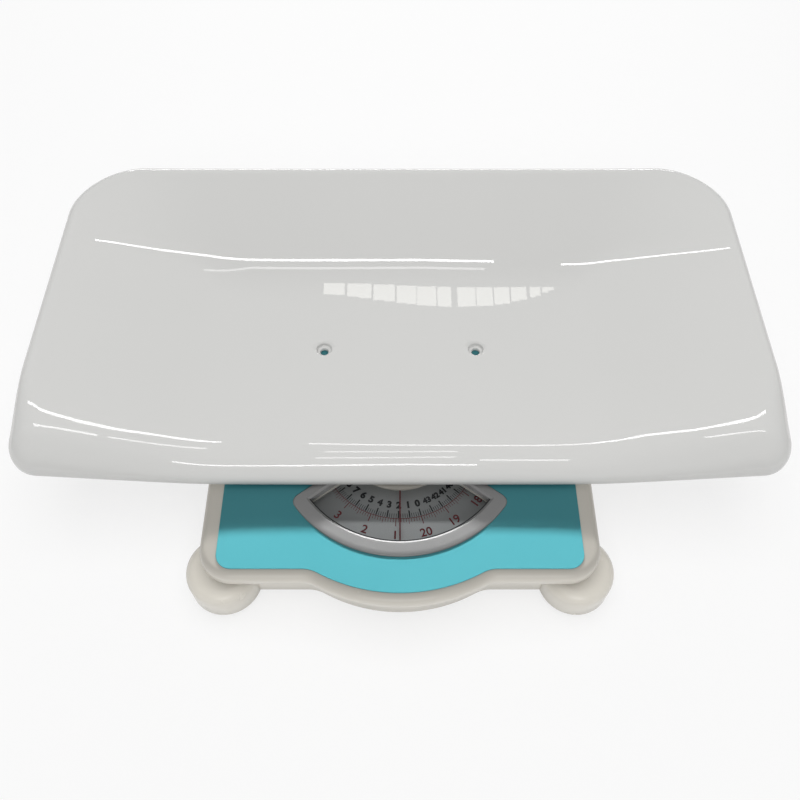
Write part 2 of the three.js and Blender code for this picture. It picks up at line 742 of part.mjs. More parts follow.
function makeRack() {
  const backX = rackToothX();
  const rackUnder = pinionUnder + (pinionThick - rackThick) / 2;
  const rest = crankTip(swingHalfDeg);
  const pitch = Math.PI * toothModule;
  const teeth = Math.ceil(rackTravel / pitch) + 5;
  const firstY = dialY - 2 * pitch;
  const barBackY = firstY + teeth * pitch + rackBack / 4;
  const tabX1 = crankOuterX - seatGap;
  const tabX0 = tabX1 - rackTabThick;
  const points = [[backX, barBackY], [backX - rackWide, barBackY], [backX - rackWide, rackBendY],
    [tabX0, rest.y + rackTabHalf], [tabX0, rest.y - rackTabHalf], [tabX1 + rackTabThick, rest.y - rackTabHalf],
    [tabX1 + rackTabThick, rest.y + rackTabHalf], [backX, rackBendY]];
  const bar = slabOf(new THREE.Shape(points.map((p) => new THREE.Vector2(p[0], p[1]))),
    rackUnder, rackUnder + rackThick);
  let rack = bar;
  const rootHalf = pitch / 2 * toothRootShare;
  const tipHalf = pitch / 2 * toothTipShare;
  const tipX = -pinionRadius + toothModule * toothAddendumShare;
  for (let k = 0; k < teeth; k += 1) {
    const y = firstY + k * pitch;
    const tooth = new THREE.Shape([[backX - cutOver, y - rootHalf], [backX, y - rootHalf], [tipX, y - tipHalf],
      [tipX, y + tipHalf], [backX, y + rootHalf], [backX - cutOver, y + rootHalf]]
      .map((p) => new THREE.Vector2(p[0], p[1])));
    rack = rack.add(slabOf(tooth, rackUnder, rackUnder + rackThick));
  }
  const clearX = tabX1 + rackTabThick + cutOver;
  const relief = boxAt(tabX1, clearX, rest.y - rackTabHalf - cutOver, rest.y + rackTabHalf + seatGap,
    rackUnder - cutOver, rackUnder + rackThick + cutOver);
  const tab = boxAt(tabX0, tabX1, rest.y - rackTabHalf, rest.y + rackTabHalf, rackTabFoot, rackTabTop);
  const slotHalf = rackPinRadius + seatGap;
  const slotLow = rest.z - rackPinRadius - seatGap;
  const slotHigh = crankZ + crankLong + rackPinRadius + seatGap;
  const slot = boxAt(tabX0 - cutOver, tabX1 + cutOver, rest.y - slotHalf, rest.y + slotHalf, slotLow, slotHigh);
  return node('rack', rack.subtract(relief).add(tab).subtract(slot), zincSteel);
}

// ---- bell crank on its pin
function armShape(length, tipRadius) {
  const points = [];
  const steps = 6;
  const lean = Math.acos((crankHubRadius - tipRadius) / length);
  for (let i = 0; i <= steps; i += 1) {
    const a = -lean + 2 * lean * i / steps;
    points.push([length + tipRadius * Math.cos(a), tipRadius * Math.sin(a)]);
  }
  for (let i = 0; i <= steps; i += 1) {
    const a = lean + (2 * Math.PI - 2 * lean) * i / steps;
    points.push([crankHubRadius * Math.cos(a), crankHubRadius * Math.sin(a)]);
  }
  return points;
}

function turned(points, angleDeg, y, z) {
  const a = THREE.MathUtils.degToRad(angleDeg);
  const cos = Math.cos(a);
  const sin = Math.sin(a);
  return points.map((p) => [y + p[0] * cos - p[1] * sin, z + p[0] * sin + p[1] * cos]);
}

function makeCrank() {
  const tall = plateYZ(turned(armShape(crankLong, crankHeadRadius), 90 - swingHalfDeg, crankY, crankZ),
    crankOuterX, crankOuterX + crankThick);
  const flat = plateYZ(turned(armShape(crankShort, crankTipRadius), 180 - swingHalfDeg, crankY, crankZ),
    crankInnerX - crankThick, crankInnerX);
  const hub = rodX(crankHubRadius, crankOuterX, crankInnerX, crankY, crankZ, 16);
  const bore = rodX(crankPinRadius + seatGap, crankOuterX - cutOver, crankInnerX + cutOver, crankY, crankZ, 12);
  const tip = crankTip(swingHalfDeg);
  const pinEnd = crankOuterX - seatGap - rackTabThick - seatGap;
  const pin = rodX(rackPinRadius, pinEnd, crankOuterX + crankThick / 2, tip.y, tip.z, 10);
  return node('bell_crank', joined([tall, flat, hub, pin]).subtract(bore), zincSteel);
}

function makeCrankPin() {
  const end = crankInnerX + earThick;
  const rod = rodX(crankPinRadius, -bridgeHalfWide - runGap, end, crankY, crankZ, 12);
  const head = rodX(crankPinRadius + earThick / 2, -bridgeHalfWide - runGap - earThick / 2,
    -bridgeHalfWide - seatGap, crankY, crankZ, 12);
  const clip = rodX(crankPinRadius + earThick / 2, crankInnerX + seatGap, end, crankY, crankZ, 12);
  return node('crank_pin', joined([rod, head, clip]), zincSteel);
}

function makeCrankSpring() {
  const a = THREE.MathUtils.degToRad(180 - swingHalfDeg);
  const y = crankY + crankShort * Math.cos(a);
  const z = crankZ + crankShort * Math.sin(a);
  const x = crankInnerX - crankThick / 2;
  const low = z + crankTipRadius + seatGap + crankSpringWire;
  const high = bridgePlateTop - bridgePlateThick - seatGap - crankSpringWire;
  const pitch = (high - low) / crankSpringTurns;
  return node('crank_spring', coilOf('crank_spring', x, y, low, crankSpringRadius, crankSpringWire, pitch,
    crankSpringTurns), springSteel);
}

// ---- bracket over the nose: carries the zero screw, the main spring and the crank pin
function makeNoseBracket() {
  const t = bridgePlateThick;
  const plateFoot = bridgePlateTop - t;
  const pieces = [boxAt(-bridgeHalfWide, bridgeHalfWide, bridgeFront, bridgeBack, plateFoot, bridgePlateTop)];
  for (const s of [-1, 1]) {
    const x0 = s < 0 ? -bridgeHalfWide : bridgeHalfWide - t;
    pieces.push(boxAt(x0, x0 + t, bridgeFront, bridgeBack, bracketSeat, bridgePlateTop));
    const f0 = s < 0 ? -bridgeHalfWide - bracketFlange : bridgeHalfWide - t;
    pieces.push(boxAt(f0, f0 + bracketFlange + t, bridgeBack - bridgeFlangeDeep, bridgeBack,
      bracketSeat, bracketSeat + t));
  }
  const screwBore = rodZ(zeroScrewRadius + seatGap, 0, springY, plateFoot - cutOver, bridgePlateTop + cutOver);
  const pinBore = rodX(crankPinRadius + seatGap, -bridgeHalfWide - cutOver, -bridgeHalfWide + t + cutOver,
    crankY, crankZ);
  const sweepX0 = crankOuterX - rackTabThick - runGap * 2;
  const sweepY0 = crankY - rackTravel / 2 - rackTabHalf - runGap;
  const sweep = boxAt(sweepX0, crankOuterX + crankThick + runGap, sweepY0, bridgeBack + cutOver,
    bridgePlateTop - t - cutOver, bridgePlateTop + cutOver);
  return node('nose_bracket', joined(pieces).subtract(screwBore).subtract(pinBore).subtract(sweep), zincSteel);
}

function makeZeroScrew() {
  const plugTop = bridgePlateTop - bridgePlateThick - runGap * 2;
  const plugFoot = plugTop - zeroPlugHigh;
  const shank = rodZ(zeroScrewRadius, 0, springY, plugFoot, zeroScrewTop);
  const plug = rodZ(springPlugRadius, 0, springY, plugFoot, plugTop);
  return node('zero_screw', shank.add(plug), zincSteel);
}

function makeZeroWheel() {
  const z0 = bridgePlateTop + seatGap;
  let wheel = rodZ(zeroWheelRadius, 0, springY, z0, z0 + zeroWheelThick, 40);
  const bore = rodZ(zeroScrewRadius + seatGap, 0, springY, z0 - cutOver, z0 + zeroWheelThick + cutOver);
  wheel = wheel.subtract(bore);
  const notches = 16;
  for (let k = 0; k < notches; k += 1) {
    const a = 2 * Math.PI * k / notches;
    const r = zeroWheelRadius + zeroNotchRadius - zeroWheelNotch;
    wheel = wheel.subtract(rodZ(zeroNotchRadius, r * Math.cos(a), springY + r * Math.sin(a),
      z0 - cutOver, z0 + zeroWheelThick + cutOver, 6));
  }
  return node('zero_wheel', wheel, darkPlastic);
}

function makeNosePlate() {
  const y0 = -noseY - nosePlateThick / 2;
  const y1 = y0 + nosePlateThick;
  const windowFoot = pivotZ - noseHigh / 2 - seatGap;
  const plate = boxAt(-nosePlateHalfWide, nosePlateHalfWide, y0, y1, nosePlateFoot, nosePlateTop);
  const half = noseWide / 2 + runGap;
  const sight = boxAt(-half, half, y0 - cutOver, y1 + cutOver, windowFoot, windowFoot + noseHigh + runGap * 2);
  const lip = boxAt(-nosePlateHalfWide, nosePlateHalfWide, y0 - noseLipReach, y1, nosePlateFoot,
    nosePlateFoot + noseLipThick);
  const plugFoot = nosePlateFoot + noseLipThick / 2;
  const plug = rodZ(springPlugRadius, 0, springY, plugFoot, plugFoot + noseLipThick / 2 + springPlugHigh);
  const a = THREE.MathUtils.degToRad(180 - swingHalfDeg);
  const tipZ = crankZ + crankShort * Math.sin(a);
  const earTop = tipZ - crankTipRadius - seatGap;
  const tipY = crankY + crankShort * Math.cos(a);
  const earX0 = crankInnerX - crankThick - runGap;
  const ear = boxAt(earX0, -nosePlateHalfWide + cutOver, tipY - crankTipRadius, tipY - seatGap * 2,
    nosePlateFoot, earTop);
  return node('nose_plate', joined([plate.subtract(sight), lip, plug, ear]), zincSteel);
}

function makeMainSpring() {
  const low = nosePlateFoot + noseLipThick + seatGap + springWire;
  return node('main_spring', coilOf('main_spring', 0, springY, low, springRadius, springWire, springPitch,
    springTurns), springSteel);
}

// ---- levers: pressed channels, open below
function channelAlong(x0, y0, x1, y1) {
  const length = Math.hypot(x1 - x0, y1 - y0);
  const z0 = pivotZ - armHigh / 2;
  const outer = new THREE.BoxGeometry(armWide, length, armHigh);
  const inner = new THREE.BoxGeometry(armWide - armWall * 2, length - armWall * 2, armHigh);
  inner.translate(0, 0, -armWall);
  const angle = Math.atan2(y1 - y0, x1 - x0) - Math.PI / 2;
  const both = [outer, inner].map((g) => {
    g.rotateZ(angle);
    g.translate((x0 + x1) / 2, (y0 + y1) / 2, z0 + armHigh / 2);
    return solidOf(g);
  });
  return both;
}

function channelArm(pathPoints) {
  const outers = [];
  const inners = [];
  for (let i = 0; i + 1 < pathPoints.length; i += 1) {
    const [outer, inner] = channelAlong(...pathPoints[i], ...pathPoints[i + 1]);
    outers.push(outer);
    inners.push(inner);
  }
  for (const p of pathPoints.slice(1, -1)) {
    outers.push(rodZ(armWide / 2, p[0], p[1], pivotZ - armHigh / 2, pivotZ + armHigh / 2, 12));
    inners.push(rodZ(armWide / 2 - armWall, p[0], p[1], pivotZ - armHigh, pivotZ + armHigh / 2 - armWall, 12));
  }
  return [outers, inners];
}

function crossBores(x, sy, atY) {
  const half = armWide / 2 + cutOver;
  return rodX(pinRadius + seatGap, x - half, x + half, sy * atY, pivotZ);
}

function makeLongLever() {
  const outers = [];
  const inners = [];
  const backY = fulcrumY + armOverhang;
  const bendY = fulcrumY - armStraight;
  for (const s of [-1, 1]) {
    const tip = [0, -fulcrumY + armOverhang];
    const [outer, inner] = channelArm([[s * cornerX, backY], [s * cornerX, bendY], tip]);
    outers.push(...outer);
    inners.push(...inner);
  }
  let lever = joined(outers).subtract(joined(inners));
  const tieSpan = longArmX(tieBarY);
  const tieTop = pivotZ + armHigh / 2;
  lever = lever.add(boxAt(-tieSpan, tieSpan, tieBarY - tieBarWide / 2, tieBarY + tieBarWide / 2,
    tieTop - armWall, tieTop));
  const nose = boxAt(-noseWide / 2, noseWide / 2, -noseY - noseOverhang, -fulcrumY + armOverhang * 2,
    pivotZ - noseHigh / 2, pivotZ + noseHigh / 2);
  lever = lever.add(nose);
  for (const s of [-1, 1]) {
    const x = s * longArmX(0);
    const stubEnd = s * (linkX() + linkThick / 2 + linkGap);
    lever = lever.add(rodX(linkPinRadius, Math.min(x, stubEnd), Math.max(x, stubEnd), 0, linkUpperZ, 12));
    for (const atY of [fulcrumY, fulcrumY - loadArm]) {
      lever = lever.subtract(crossBores(s * cornerX, 1, atY));
    }
  }
  return node('long_lever', lever, zincSteel);
}

function longArmX(y) {
  const endY = -fulcrumY + armOverhang;
  return longArmSlope() * (y - endY);
}

// How far the long lever's arm runs sideways for each length it runs back.
function longArmSlope() {
  return cornerX / (fulcrumY - armStraight + fulcrumY - armOverhang);
}

function linkX() {
  const armSide = armWide / 2 * Math.hypot(1, longArmSlope());
  return longArmX(linkWide / 2) + armSide + linkThick / 2 + linkSideGap;
}

function makeShortLever(s, name) {
  const tipX = linkX() + linkThick / 2 + linkGap + armWide / 2 + linkGap;
  const frontY = -fulcrumY - armOverhang;
  const bendY = -fulcrumY + armStraight;
  const [outer, inner] = channelArm([[s * cornerX, frontY], [s * cornerX, bendY], [s * tipX, armOverhang]]);
  let lever = joined(outer).subtract(joined(inner));
  const stub0 = s * (linkX() - linkThick / 2 - linkGap / 2);
  const stub1 = s * tipX;
  const web = boxAt(s * tipX - armWide / 4, s * tipX + armWide / 4, -linkWide / 2, linkWide / 2,
    linkLowerZ, pivotZ + armHigh / 2 - armWall / 2);
  const stub = rodX(linkPinRadius, Math.min(stub0, stub1), Math.max(stub0, stub1), 0, linkLowerZ, 12);
  lever = lever.add(stub).add(web);
  for (const atY of [fulcrumY, fulcrumY - loadArm]) {
    lever = lever.subtract(crossBores(s * cornerX, -1, atY));
  }
  return node(name, lever, zincSteel);
}

function makeLink(s, name) {
  const x0 = s * linkX() - linkThick / 2;
  const x1 = x0 + linkThick;
  const body = boxAt(x0, x1, -linkWide / 2, linkWide / 2, linkLowerZ, linkUpperZ);
  const ends = [linkLowerZ, linkUpperZ].map((z) => rodX(linkWide / 2, x0, x1, 0, z, 12));
  const boreRadius = linkPinRadius + seatGap;
  const bores = [linkLowerZ, linkUpperZ].map((z) => rodX(boreRadius, x0 - cutOver, x1 + cutOver, 0, z, 8));
  return node(name, joined([body, ...ends]).subtract(joined(bores)), zincSteel);
}

function makePin(sx, sy, atY, name) {
  const half = postWide + seatGap + earThick / 2;
  const x = sx * cornerX;
  return node(name, rodX(pinRadius, x - half, x + half, sy * atY, pivotZ, 12), zincSteel);
}

function makeFulcrumBracket(sx, sy, name) {
  const x = sx * cornerX;
  const y = sy * fulcrumY;
  const gap = armWide / 2 + runGap * 3;
  const t = earThick;
  const top = pivotZ + earRise;
  const y0 = y - earWide / 2;
  const y1 = y + earWide / 2;
  const pieces = [boxAt(x - gap - t, x + gap + t, y0, y1, bracketSeat, bracketSeat + t)];
  for (const s of [-1, 1]) {
    const e0 = s < 0 ? x - gap - t : x + gap;
    pieces.push(boxAt(e0, e0 + t, y0, y1, bracketSeat, top));
  }
  const past = gap + t + cutOver;
  const half = pinRadius + seatGap;
  const bore = rodX(half, x - past, x + past, y, pivotZ);
  const slot = boxAt(x - past, x + past, y - half, y + half, pivotZ, top + cutOver);
  return node(name, joined(pieces).subtract(bore).subtract(slot), zincSteel);
}

// ---- pan: a shallow trough with a creased back and a rolled lip, by a point around and a ring outwards
const panRuns = panOutlineRuns();
const panSides = panRuns.reduce((sum, run) => sum + run.steps, 0);

// Nine runs of the rounded outline, anticlockwise from the middle of the front, each with its steps.
function panOutlineRuns() {
  const halfX = panHalfWide;
  const halfY = (panBack - panFront) / 2;
  const f = panCornerFront;
  const b = panCornerBack;
  const straight = (steps, x0, y0, x1, y1) => {
    const length = Math.hypot(x1 - x0, y1 - y0);
    const nx = (y1 - y0) / length;
    const ny = -(x1 - x0) / length;
    return { steps, at: (t) => [x0 + (x1 - x0) * t, y0 + (y1 - y0) * t, nx, ny] };
  };
  const bend = (steps, cx, cy, r, a0) => ({ steps, at: (t) => {
    const a = a0 + t * Math.PI / 2;
    return [cx + r * Math.cos(a), cy + r * Math.sin(a), Math.cos(a), Math.sin(a)];
  } });
  return [
    straight(9, 0, -halfY, halfX - f, -halfY),
    bend(5, halfX - f, -halfY + f, f, -Math.PI / 2),
    straight(8, halfX, -halfY + f, halfX, halfY - b),
    bend(8, halfX - b, halfY - b, b, 0),
    straight(16, halfX - b, halfY, -halfX + b, halfY),
    bend(8, -halfX + b, halfY - b, b, Math.PI / 2),
    straight(8, -halfX, halfY - b, -halfX, -halfY + f),
    bend(5, -halfX + f, -halfY + f, f, Math.PI),
    straight(9, -halfX + f, -halfY, 0, -halfY),
  ];
}

// Point of the outline, its outward direction, and how the lip is shaped there.
function panOutline(around) {
  const midY = (panFront + panBack) / 2;
  let left = (around - Math.floor(around)) * panSides;
  let run = panRuns[0];
  for (run of panRuns) {
    if (left <= run.steps) {
      break;
    }
    left -= run.steps;
  }
  const [x, y, nx, ny] = run.at(left / run.steps);
  const wrap = Math.min(1, Math.max(0, 1 - (y + midY - panFront) / panFrontWrap));
  const toFront = wrap * wrap * (3 - 2 * wrap);
  const toBack = Math.max(0, ny) ** 2;
  const toEnd = 1 - toFront - toBack;
  const frontDrop = panDropFront + (panDropCorner - panDropFront) * panFlare(x);
  const lip = panLipFront * toFront + panLipEnd * toEnd + panLipBack * toBack;
  const drop = frontDrop * toFront + panDropEnd * toEnd + panDropBack * toBack;
  const down = panEdgeDown + (panEdgeDownEnd - panEdgeDown) * (1 - toFront);
  const support = x * nx + y * ny;
  const sideStart = ny < 0 ? (panHalfWide - lip) / Math.abs(x) : 1 - lip / support;
  const frontStart = y < 0 ? (panFront + panLipFront - midY) / y : 1;
  return { x, y, nx, ny, midY, lip, drop, down, support, start: Math.min(sideStart, frontStart) };
}

// Depth that starts softly at zero and grows with the distance past a crease.
function pastCrease(distance, soft) {
  return (distance + Math.hypot(distance, soft)) / 2;
}

// Share of the rise towards the raised ends, which are flat past a soft crease.
function panFlare(x) {
  const whole = pastCrease(panHalfWide - panFlatHalf, panFlareSoft);
  return pastCrease(Math.abs(x) - panFlatHalf, panFlareSoft) / whole;
}

function panBase(x, y) {
  const front = Math.max(0, (panLowY - y) / (panLowY - panFront));
  const back = Math.max(0, (y - panLowY) / (panCreaseY - panLowY));
  const backEnd = (panBack - panLowY) / (panCreaseY - panLowY);
  const steep = (panRise - panCreaseRise * backEnd ** 2) / pastCrease(panBack - panCreaseY, panCreaseSoft);
  const trough = panFloor + panFrontRise * front ** panFrontShare + panCreaseRise * back ** 2
    + steep * pastCrease(y - panCreaseY, panCreaseSoft);
  return trough + (panFloor + panRise - trough) * panFlare(x);
}

// How far over the lip a point is: zero inside it, growing towards the edge from the front and the side.
function panNear(o, share) {
  const sideGap = o.ny < 0 ? panHalfWide - Math.abs(o.x * share) : (1 - share) * o.support;
  const frontGap = o.midY + o.y * share - panFront;
  const nearSide = Math.max(0, 1 - sideGap / o.lip);
  const nearFront = Math.max(0, 1 - frontGap / panLipFront);
  return (nearFront ** panCornerShare + nearSide ** panCornerShare) ** (1 / panCornerShare);
}

function panTop(around, share) {
  const o = panOutline(around);
  const x = o.x * share;
  const y = o.midY + o.y * share;
  const near = panNear(o, share) / panNear(o, 1);
  const fall = o.drop * (1 - Math.sqrt(Math.max(0, 1 - near * near)));
  return new THREE.Vector3(x, y, panBase(x, y) - fall);
}

function panNormal(around, share) {
  const aroundShare = 0.0005;
  const outShare = 0.0004;
  const s1 = Math.min(1, share + outShare);
  const s0 = s1 - 2 * outShare;
  const along = panTop(around + aroundShare, share).sub(panTop(around - aroundShare, share));
  const out = panTop(around, s1).sub(panTop(around, s0));
  const normal = new THREE.Vector3().crossVectors(out, along).normalize();
  const o = panOutline(around);
  const up = normal.z + panSteepShare * (normal.x * o.nx + normal.y * o.ny);
  return up < 0 ? normal.negate() : normal;
}

// Fixed rings in the middle, two rings out to the start of the lip, then equal turns round the lip.
function panShare(around, ring, innerShares, lipRings) {
  const o = panOutline(around);
  const inner = innerShares.length - 1;
  if (ring <= inner) {
    return innerShares[ring];
  }
  if (ring <= inner + 2) {
    return innerShares[inner] + (o.start - innerShares[inner]) * (ring - inner) / 2;
  }
  const turn = Math.PI / 2 * (ring - inner - 2) / lipRings;
  return 1 - (1 - o.start) * (1 - Math.sin(turn));
}

function panLoop(around, step, innerShares, lipRings) {
  const last = innerShares.length + 1 + lipRings;
  if (step <= last) {
    return panTop(around, panShare(around, step, innerShares, lipRings));
  }
  const o = panOutline(around);
  const rim = panTop(around, 1);
  const inX = rim.x - o.nx * panWall;
  const inY = rim.y - o.ny * panWall;
  if (step === last + 1) {
    return new THREE.Vector3(rim.x, rim.y, rim.z - o.down);
  }
  if (step === last + 2) {
    return new THREE.Vector3(inX, inY, rim.z - o.down);
  }
  const ring = 2 * last + 3 - step;
  if (ring === last) {
    return new THREE.Vector3(inX, inY, rim.z);
  }
  const share = panShare(around, ring, innerShares, lipRings);
  return panTop(around, share).addScaledVector(panNormal(around, share), -panWall);
}

function makePan() {
  const innerShares = [0, 0.24, 0.38, 0.5, 0.64, 0.75];
  const lipRings = 4;
  const rings = 2 * (innerShares.length + 1 + lipRings) + 3;
  const geometry = new ParametricGeometry((u, v, target) => {
    target.copy(panLoop(1 - u, Math.round(v * rings), innerShares, lipRings));
  }, panSides, rings);
  let pan = solidOf(geometry);
  if (pan.volume() < 0) {
    throw new Error('the pan surface faces inwards');
  }
  const floorUnder = panFloor - panWall / 2;
  const foot = sheetTop + seatGap;
  for (const s of [-1, 1]) {
    pan = pan.add(rodZ(panBossRadius, s * panHoleX, panHoleY, foot, floorUnder, 16));
    pan = pan.add(rodZ(panPadRadius, s * panHoleX, panPadY, foot, floorUnder + panPadSink, 14));
    const sink = rodZ(panSinkRadius, s * panHoleX, panHoleY, panFloor - panSinkDeep, panFloor + panRise, 18);
    const hole = rodZ(panHoleRadius, s * panHoleX, panHoleY, foot - cutOver, panFloor + cutOver, 16);
    pan = pan.subtract(sink).subtract(hole);
  }
  return node('baby_pan', pan, panPlastic);
}

// ---- assembly
makeHousing();
const corners = [[-1, -1, 'front_left'], [1, -1, 'front_right'], [-1, 1, 'rear_left'], [1, 1, 'rear_right']];
for (const [sx, sy, place] of corners) {
  makeFoot(sx, sy, `foot_${place}`);
  makeFulcrumBracket(sx, sy, `fulcrum_bracket_${place}`);
  makePin(sx, sy, fulcrumY, `fulcrum_pin_${place}`);
  makePin(sx, sy, fulcrumY - loadArm, `load_pin_${place}`);
}
makeNoseBracket();
makeCrankPin();
makeDialBridge();
makePlatform();
makeSheet();
makeBezel();
makeLens();
makeReadingLine();
makeHubCover();
makePan();
makeLongLever();
makeShortLever(-1, 'short_lever_left');
makeShortLever(1, 'short_lever_right');
makeLink(-1, 'lever_link_left');
makeLink(1, 'lever_link_right');
makeNosePlate();
makeMainSpring();
makeZeroScrew();
makeZeroWheel();
makeCrank();
makeCrankSpring();
makeRack();
makeDialShaft();
makeDial();
makeDialNut();
console.log(`nose travel ${noseTravel.toFixed(3)} mm, rack travel ${rackTravel.toFixed(3)} mm`);
console.log(`crank arms ${crankShort.toFixed(3)} and ${crankLong.toFixed(3)} mm`);

export default part;
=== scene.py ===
"""Mechanical baby scale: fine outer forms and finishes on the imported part.

Lengths here are millimetres about the middle of the base; place() turns them into
the frame's metres.
"""
import json
import math

import bmesh
import bpy
import numpy as np
from mathutils import Matrix, Vector


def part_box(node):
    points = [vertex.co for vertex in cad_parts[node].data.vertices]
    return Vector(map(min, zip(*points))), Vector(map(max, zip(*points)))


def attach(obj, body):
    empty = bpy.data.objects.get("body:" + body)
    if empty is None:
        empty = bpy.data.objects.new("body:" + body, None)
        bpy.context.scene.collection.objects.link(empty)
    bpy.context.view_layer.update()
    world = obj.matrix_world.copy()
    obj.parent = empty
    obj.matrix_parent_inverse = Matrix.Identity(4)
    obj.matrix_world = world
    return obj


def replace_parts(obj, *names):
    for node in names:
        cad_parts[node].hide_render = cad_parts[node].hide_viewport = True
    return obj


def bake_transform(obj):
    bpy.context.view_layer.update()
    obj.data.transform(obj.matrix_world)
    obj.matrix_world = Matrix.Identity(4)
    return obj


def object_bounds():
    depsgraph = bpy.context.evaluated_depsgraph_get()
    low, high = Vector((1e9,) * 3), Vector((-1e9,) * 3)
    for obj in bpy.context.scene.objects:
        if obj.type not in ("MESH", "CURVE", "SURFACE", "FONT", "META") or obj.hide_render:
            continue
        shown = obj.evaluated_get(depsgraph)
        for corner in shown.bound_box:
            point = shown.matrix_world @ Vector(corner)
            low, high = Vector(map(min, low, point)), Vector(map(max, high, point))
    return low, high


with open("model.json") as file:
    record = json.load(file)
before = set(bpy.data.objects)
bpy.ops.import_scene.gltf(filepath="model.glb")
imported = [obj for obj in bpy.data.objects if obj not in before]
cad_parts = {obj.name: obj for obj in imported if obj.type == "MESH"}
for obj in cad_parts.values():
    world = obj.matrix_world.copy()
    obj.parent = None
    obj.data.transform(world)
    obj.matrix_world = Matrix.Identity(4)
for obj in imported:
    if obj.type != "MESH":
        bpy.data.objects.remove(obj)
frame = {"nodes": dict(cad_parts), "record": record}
cad_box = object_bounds()

MM = 0.001
BASE_SHIFT_Y = -34.0

# ---- sizes shared with the solids
GAP = 0.3
HOUSING_FLOOR, HOUSING_TOP, HOUSING_WALL, HOUSING_SETBACK = 4.3, 36.0, 2.4, 10.0
EAR_X, EAR_Y, EAR_RADIUS, EAR_TOP, EAR_ROUND = 127.0, 120.0, 26.0, 33.0, 9.0
HALF_WIDE, HALF_DEEP, CORNER = 139.5, 137.0, 24.0
PLATFORM_TOP, PLATFORM_RIM, PLATFORM_SKIN, PLATFORM_ROUND = 54.0, 42.0, 2.5, 6.0
BULGE_RADIUS, BULGE_FILLET = 124.5, 16.0
SHEET_INSET, SHEET_SIDE_INSET, SHEET_THICK = 6.5, 13.0, 0.5
DIAL_Y, DIAL_RADIUS, DIAL_UNDER, DIAL_THICK = -29.5, 86.0, 42.6, 0.8
WINDOW_OUTER, WINDOW_INNER, WINDOW_HALF = 81.0, 42.5, math.radians(53)
BEZEL_SIDE, BEZEL_CORNER, BEZEL_THICK = 8.0, 7.0, 2.0
LINING_THICK, LINING_DROP, LENS_THICK, LEDGE_THICK = 1.6, 4.2, 1.4, 1.3
HUB_COVER_RADIUS, HUB_COVER_THICK, HUB_CLEAR_RADIUS = 41.6, 2.2, 42.5
LEVER_X, FULCRUM_Y, LOAD_ARM, PIVOT_Z = 108.0, 112.0, 22.0, 24.0
BEZEL_SEAT = PLATFORM_TOP + GAP
LINING_FOOT = PLATFORM_TOP - LINING_DROP
LENS_TOP = LINING_FOOT - GAP
LENS_UNDER = LENS_TOP - LENS_THICK
LEDGE_TOP = LENS_UNDER - GAP
LEDGE_UNDER = LEDGE_TOP - LEDGE_THICK
DIAL_TOP = DIAL_UNDER + DIAL_THICK
LID_SKIRT, LID_HOLE_RADIUS = 2.4, 10.3
RIB_AT, RIB_LONG, RIB_HALF, RIB_DEEP = 95.0, 120.0, 1.0, 5.0
POST_X, POST_Y, POST_WALL, SADDLE_RADIUS = 12.0, 8.0, 2.0, 2.3
FOOT_HOLE_RADIUS, FOOT_HOLE_DEEP = 4.3, 4.0
WHEEL_SLOT_HALF, WHEEL_SLOT_FLOOR, WHEEL_SLOT_BACK = 17.0, 33.5, -131.0
RUNNER_X, RUNNER_HALF, RUNNER_LONG, RUNNER_HIGH = 62.0, 1.0, 84.0, 3.0

# ---- sizes found from the photograph alone, so the solids differ
BEZEL_WIDE, WELL_INNER = 11.2, 36.5
# the last two size the dark strip of painted shade round the lens
LINE_WIDE, LINE_THICK, SHADE_STRIP_WIDE, SHADE_STRIP_SINK = 1.0, 0.4, 0.9, 1.7

# ---- pan, shared with the solids
PAN_HALF, PAN_FRONT, PAN_BACK, PAN_WALL = 277.0, -68.0, 222.0, 3.0
PAN_FLOOR, PAN_RISE, PAN_FRONT_RISE, PAN_LOW_Y = 61.0, 38.0, 10.0, 30.0
PAN_CREASE_Y, PAN_CREASE_RISE, PAN_CREASE_SOFT = 138.0, 4.0, 8.0
PAN_FLAT_HALF, PAN_FLARE_SOFT, PAN_CORNER_BACK, PAN_CORNER_FRONT = 147.0, 20.0, 57.0, 21.0
PAN_FRONT_WRAP = 80.0
PAN_LIP_FRONT, PAN_LIP_END, PAN_LIP_BACK = 30.0, 9.0, 10.0
PAN_DROP_FRONT, PAN_DROP_CORNER, PAN_DROP_END, PAN_DROP_BACK = 12.0, 24.0, 8.0, 9.0
PAN_EDGE, PAN_EDGE_END = 2.0, 5.0
PAN_HOLE_X, PAN_HOLE_Y, PAN_HOLE_RADIUS, PAN_SINK_RADIUS = 60.0, 50.0, 3.35, 5.8
PAN_SINK_DEEP, PAN_SINK_EDGE, PAN_BOSS_RADIUS, PAN_PAD_RADIUS, PAN_PAD_Y = 3.0, 1.4, 9.0, 7.0, -22.0

# ---- dial print: degrees grow to the left from the front
DIAL_ZERO, DEGREES_PER_TENTH, DEGREES_PER_POUND = -15.2, 1.8, 8.165
KILOS, POUNDS = 20, 44
KILO_RING, KILO_RING_WIDE, POUND_RING = 58.6, 0.45, 58.1
KILO_TEXT, KILO_HEAVY, KILO_TEXT_RADIUS = 8.8, 0.022, 71.6
POUND_TEXT, POUND_TEXT_SMALL, POUND_HEAVY, POUND_TEXT_RADIUS = 7.0, 6.0, 0.055, 48.2
PRINT_LIFT, PRINT_HALF = 0.035, 0.02


# ---- finishes
class Value:
    """One output in a material, usable in sums, products and powers."""

    def __init__(self, finish, socket):
        self.finish = finish
        self.socket = socket

    def maths(self, operation, other):
        return self.finish.node("ShaderNodeMath", {"operation": operation}, {0: self, 1: other})

    def __add__(self, other):
        return self.maths("ADD", other)

    def __mul__(self, other):
        return self.maths("MULTIPLY", other)

    def __pow__(self, other):
        return self.maths("POWER", other)


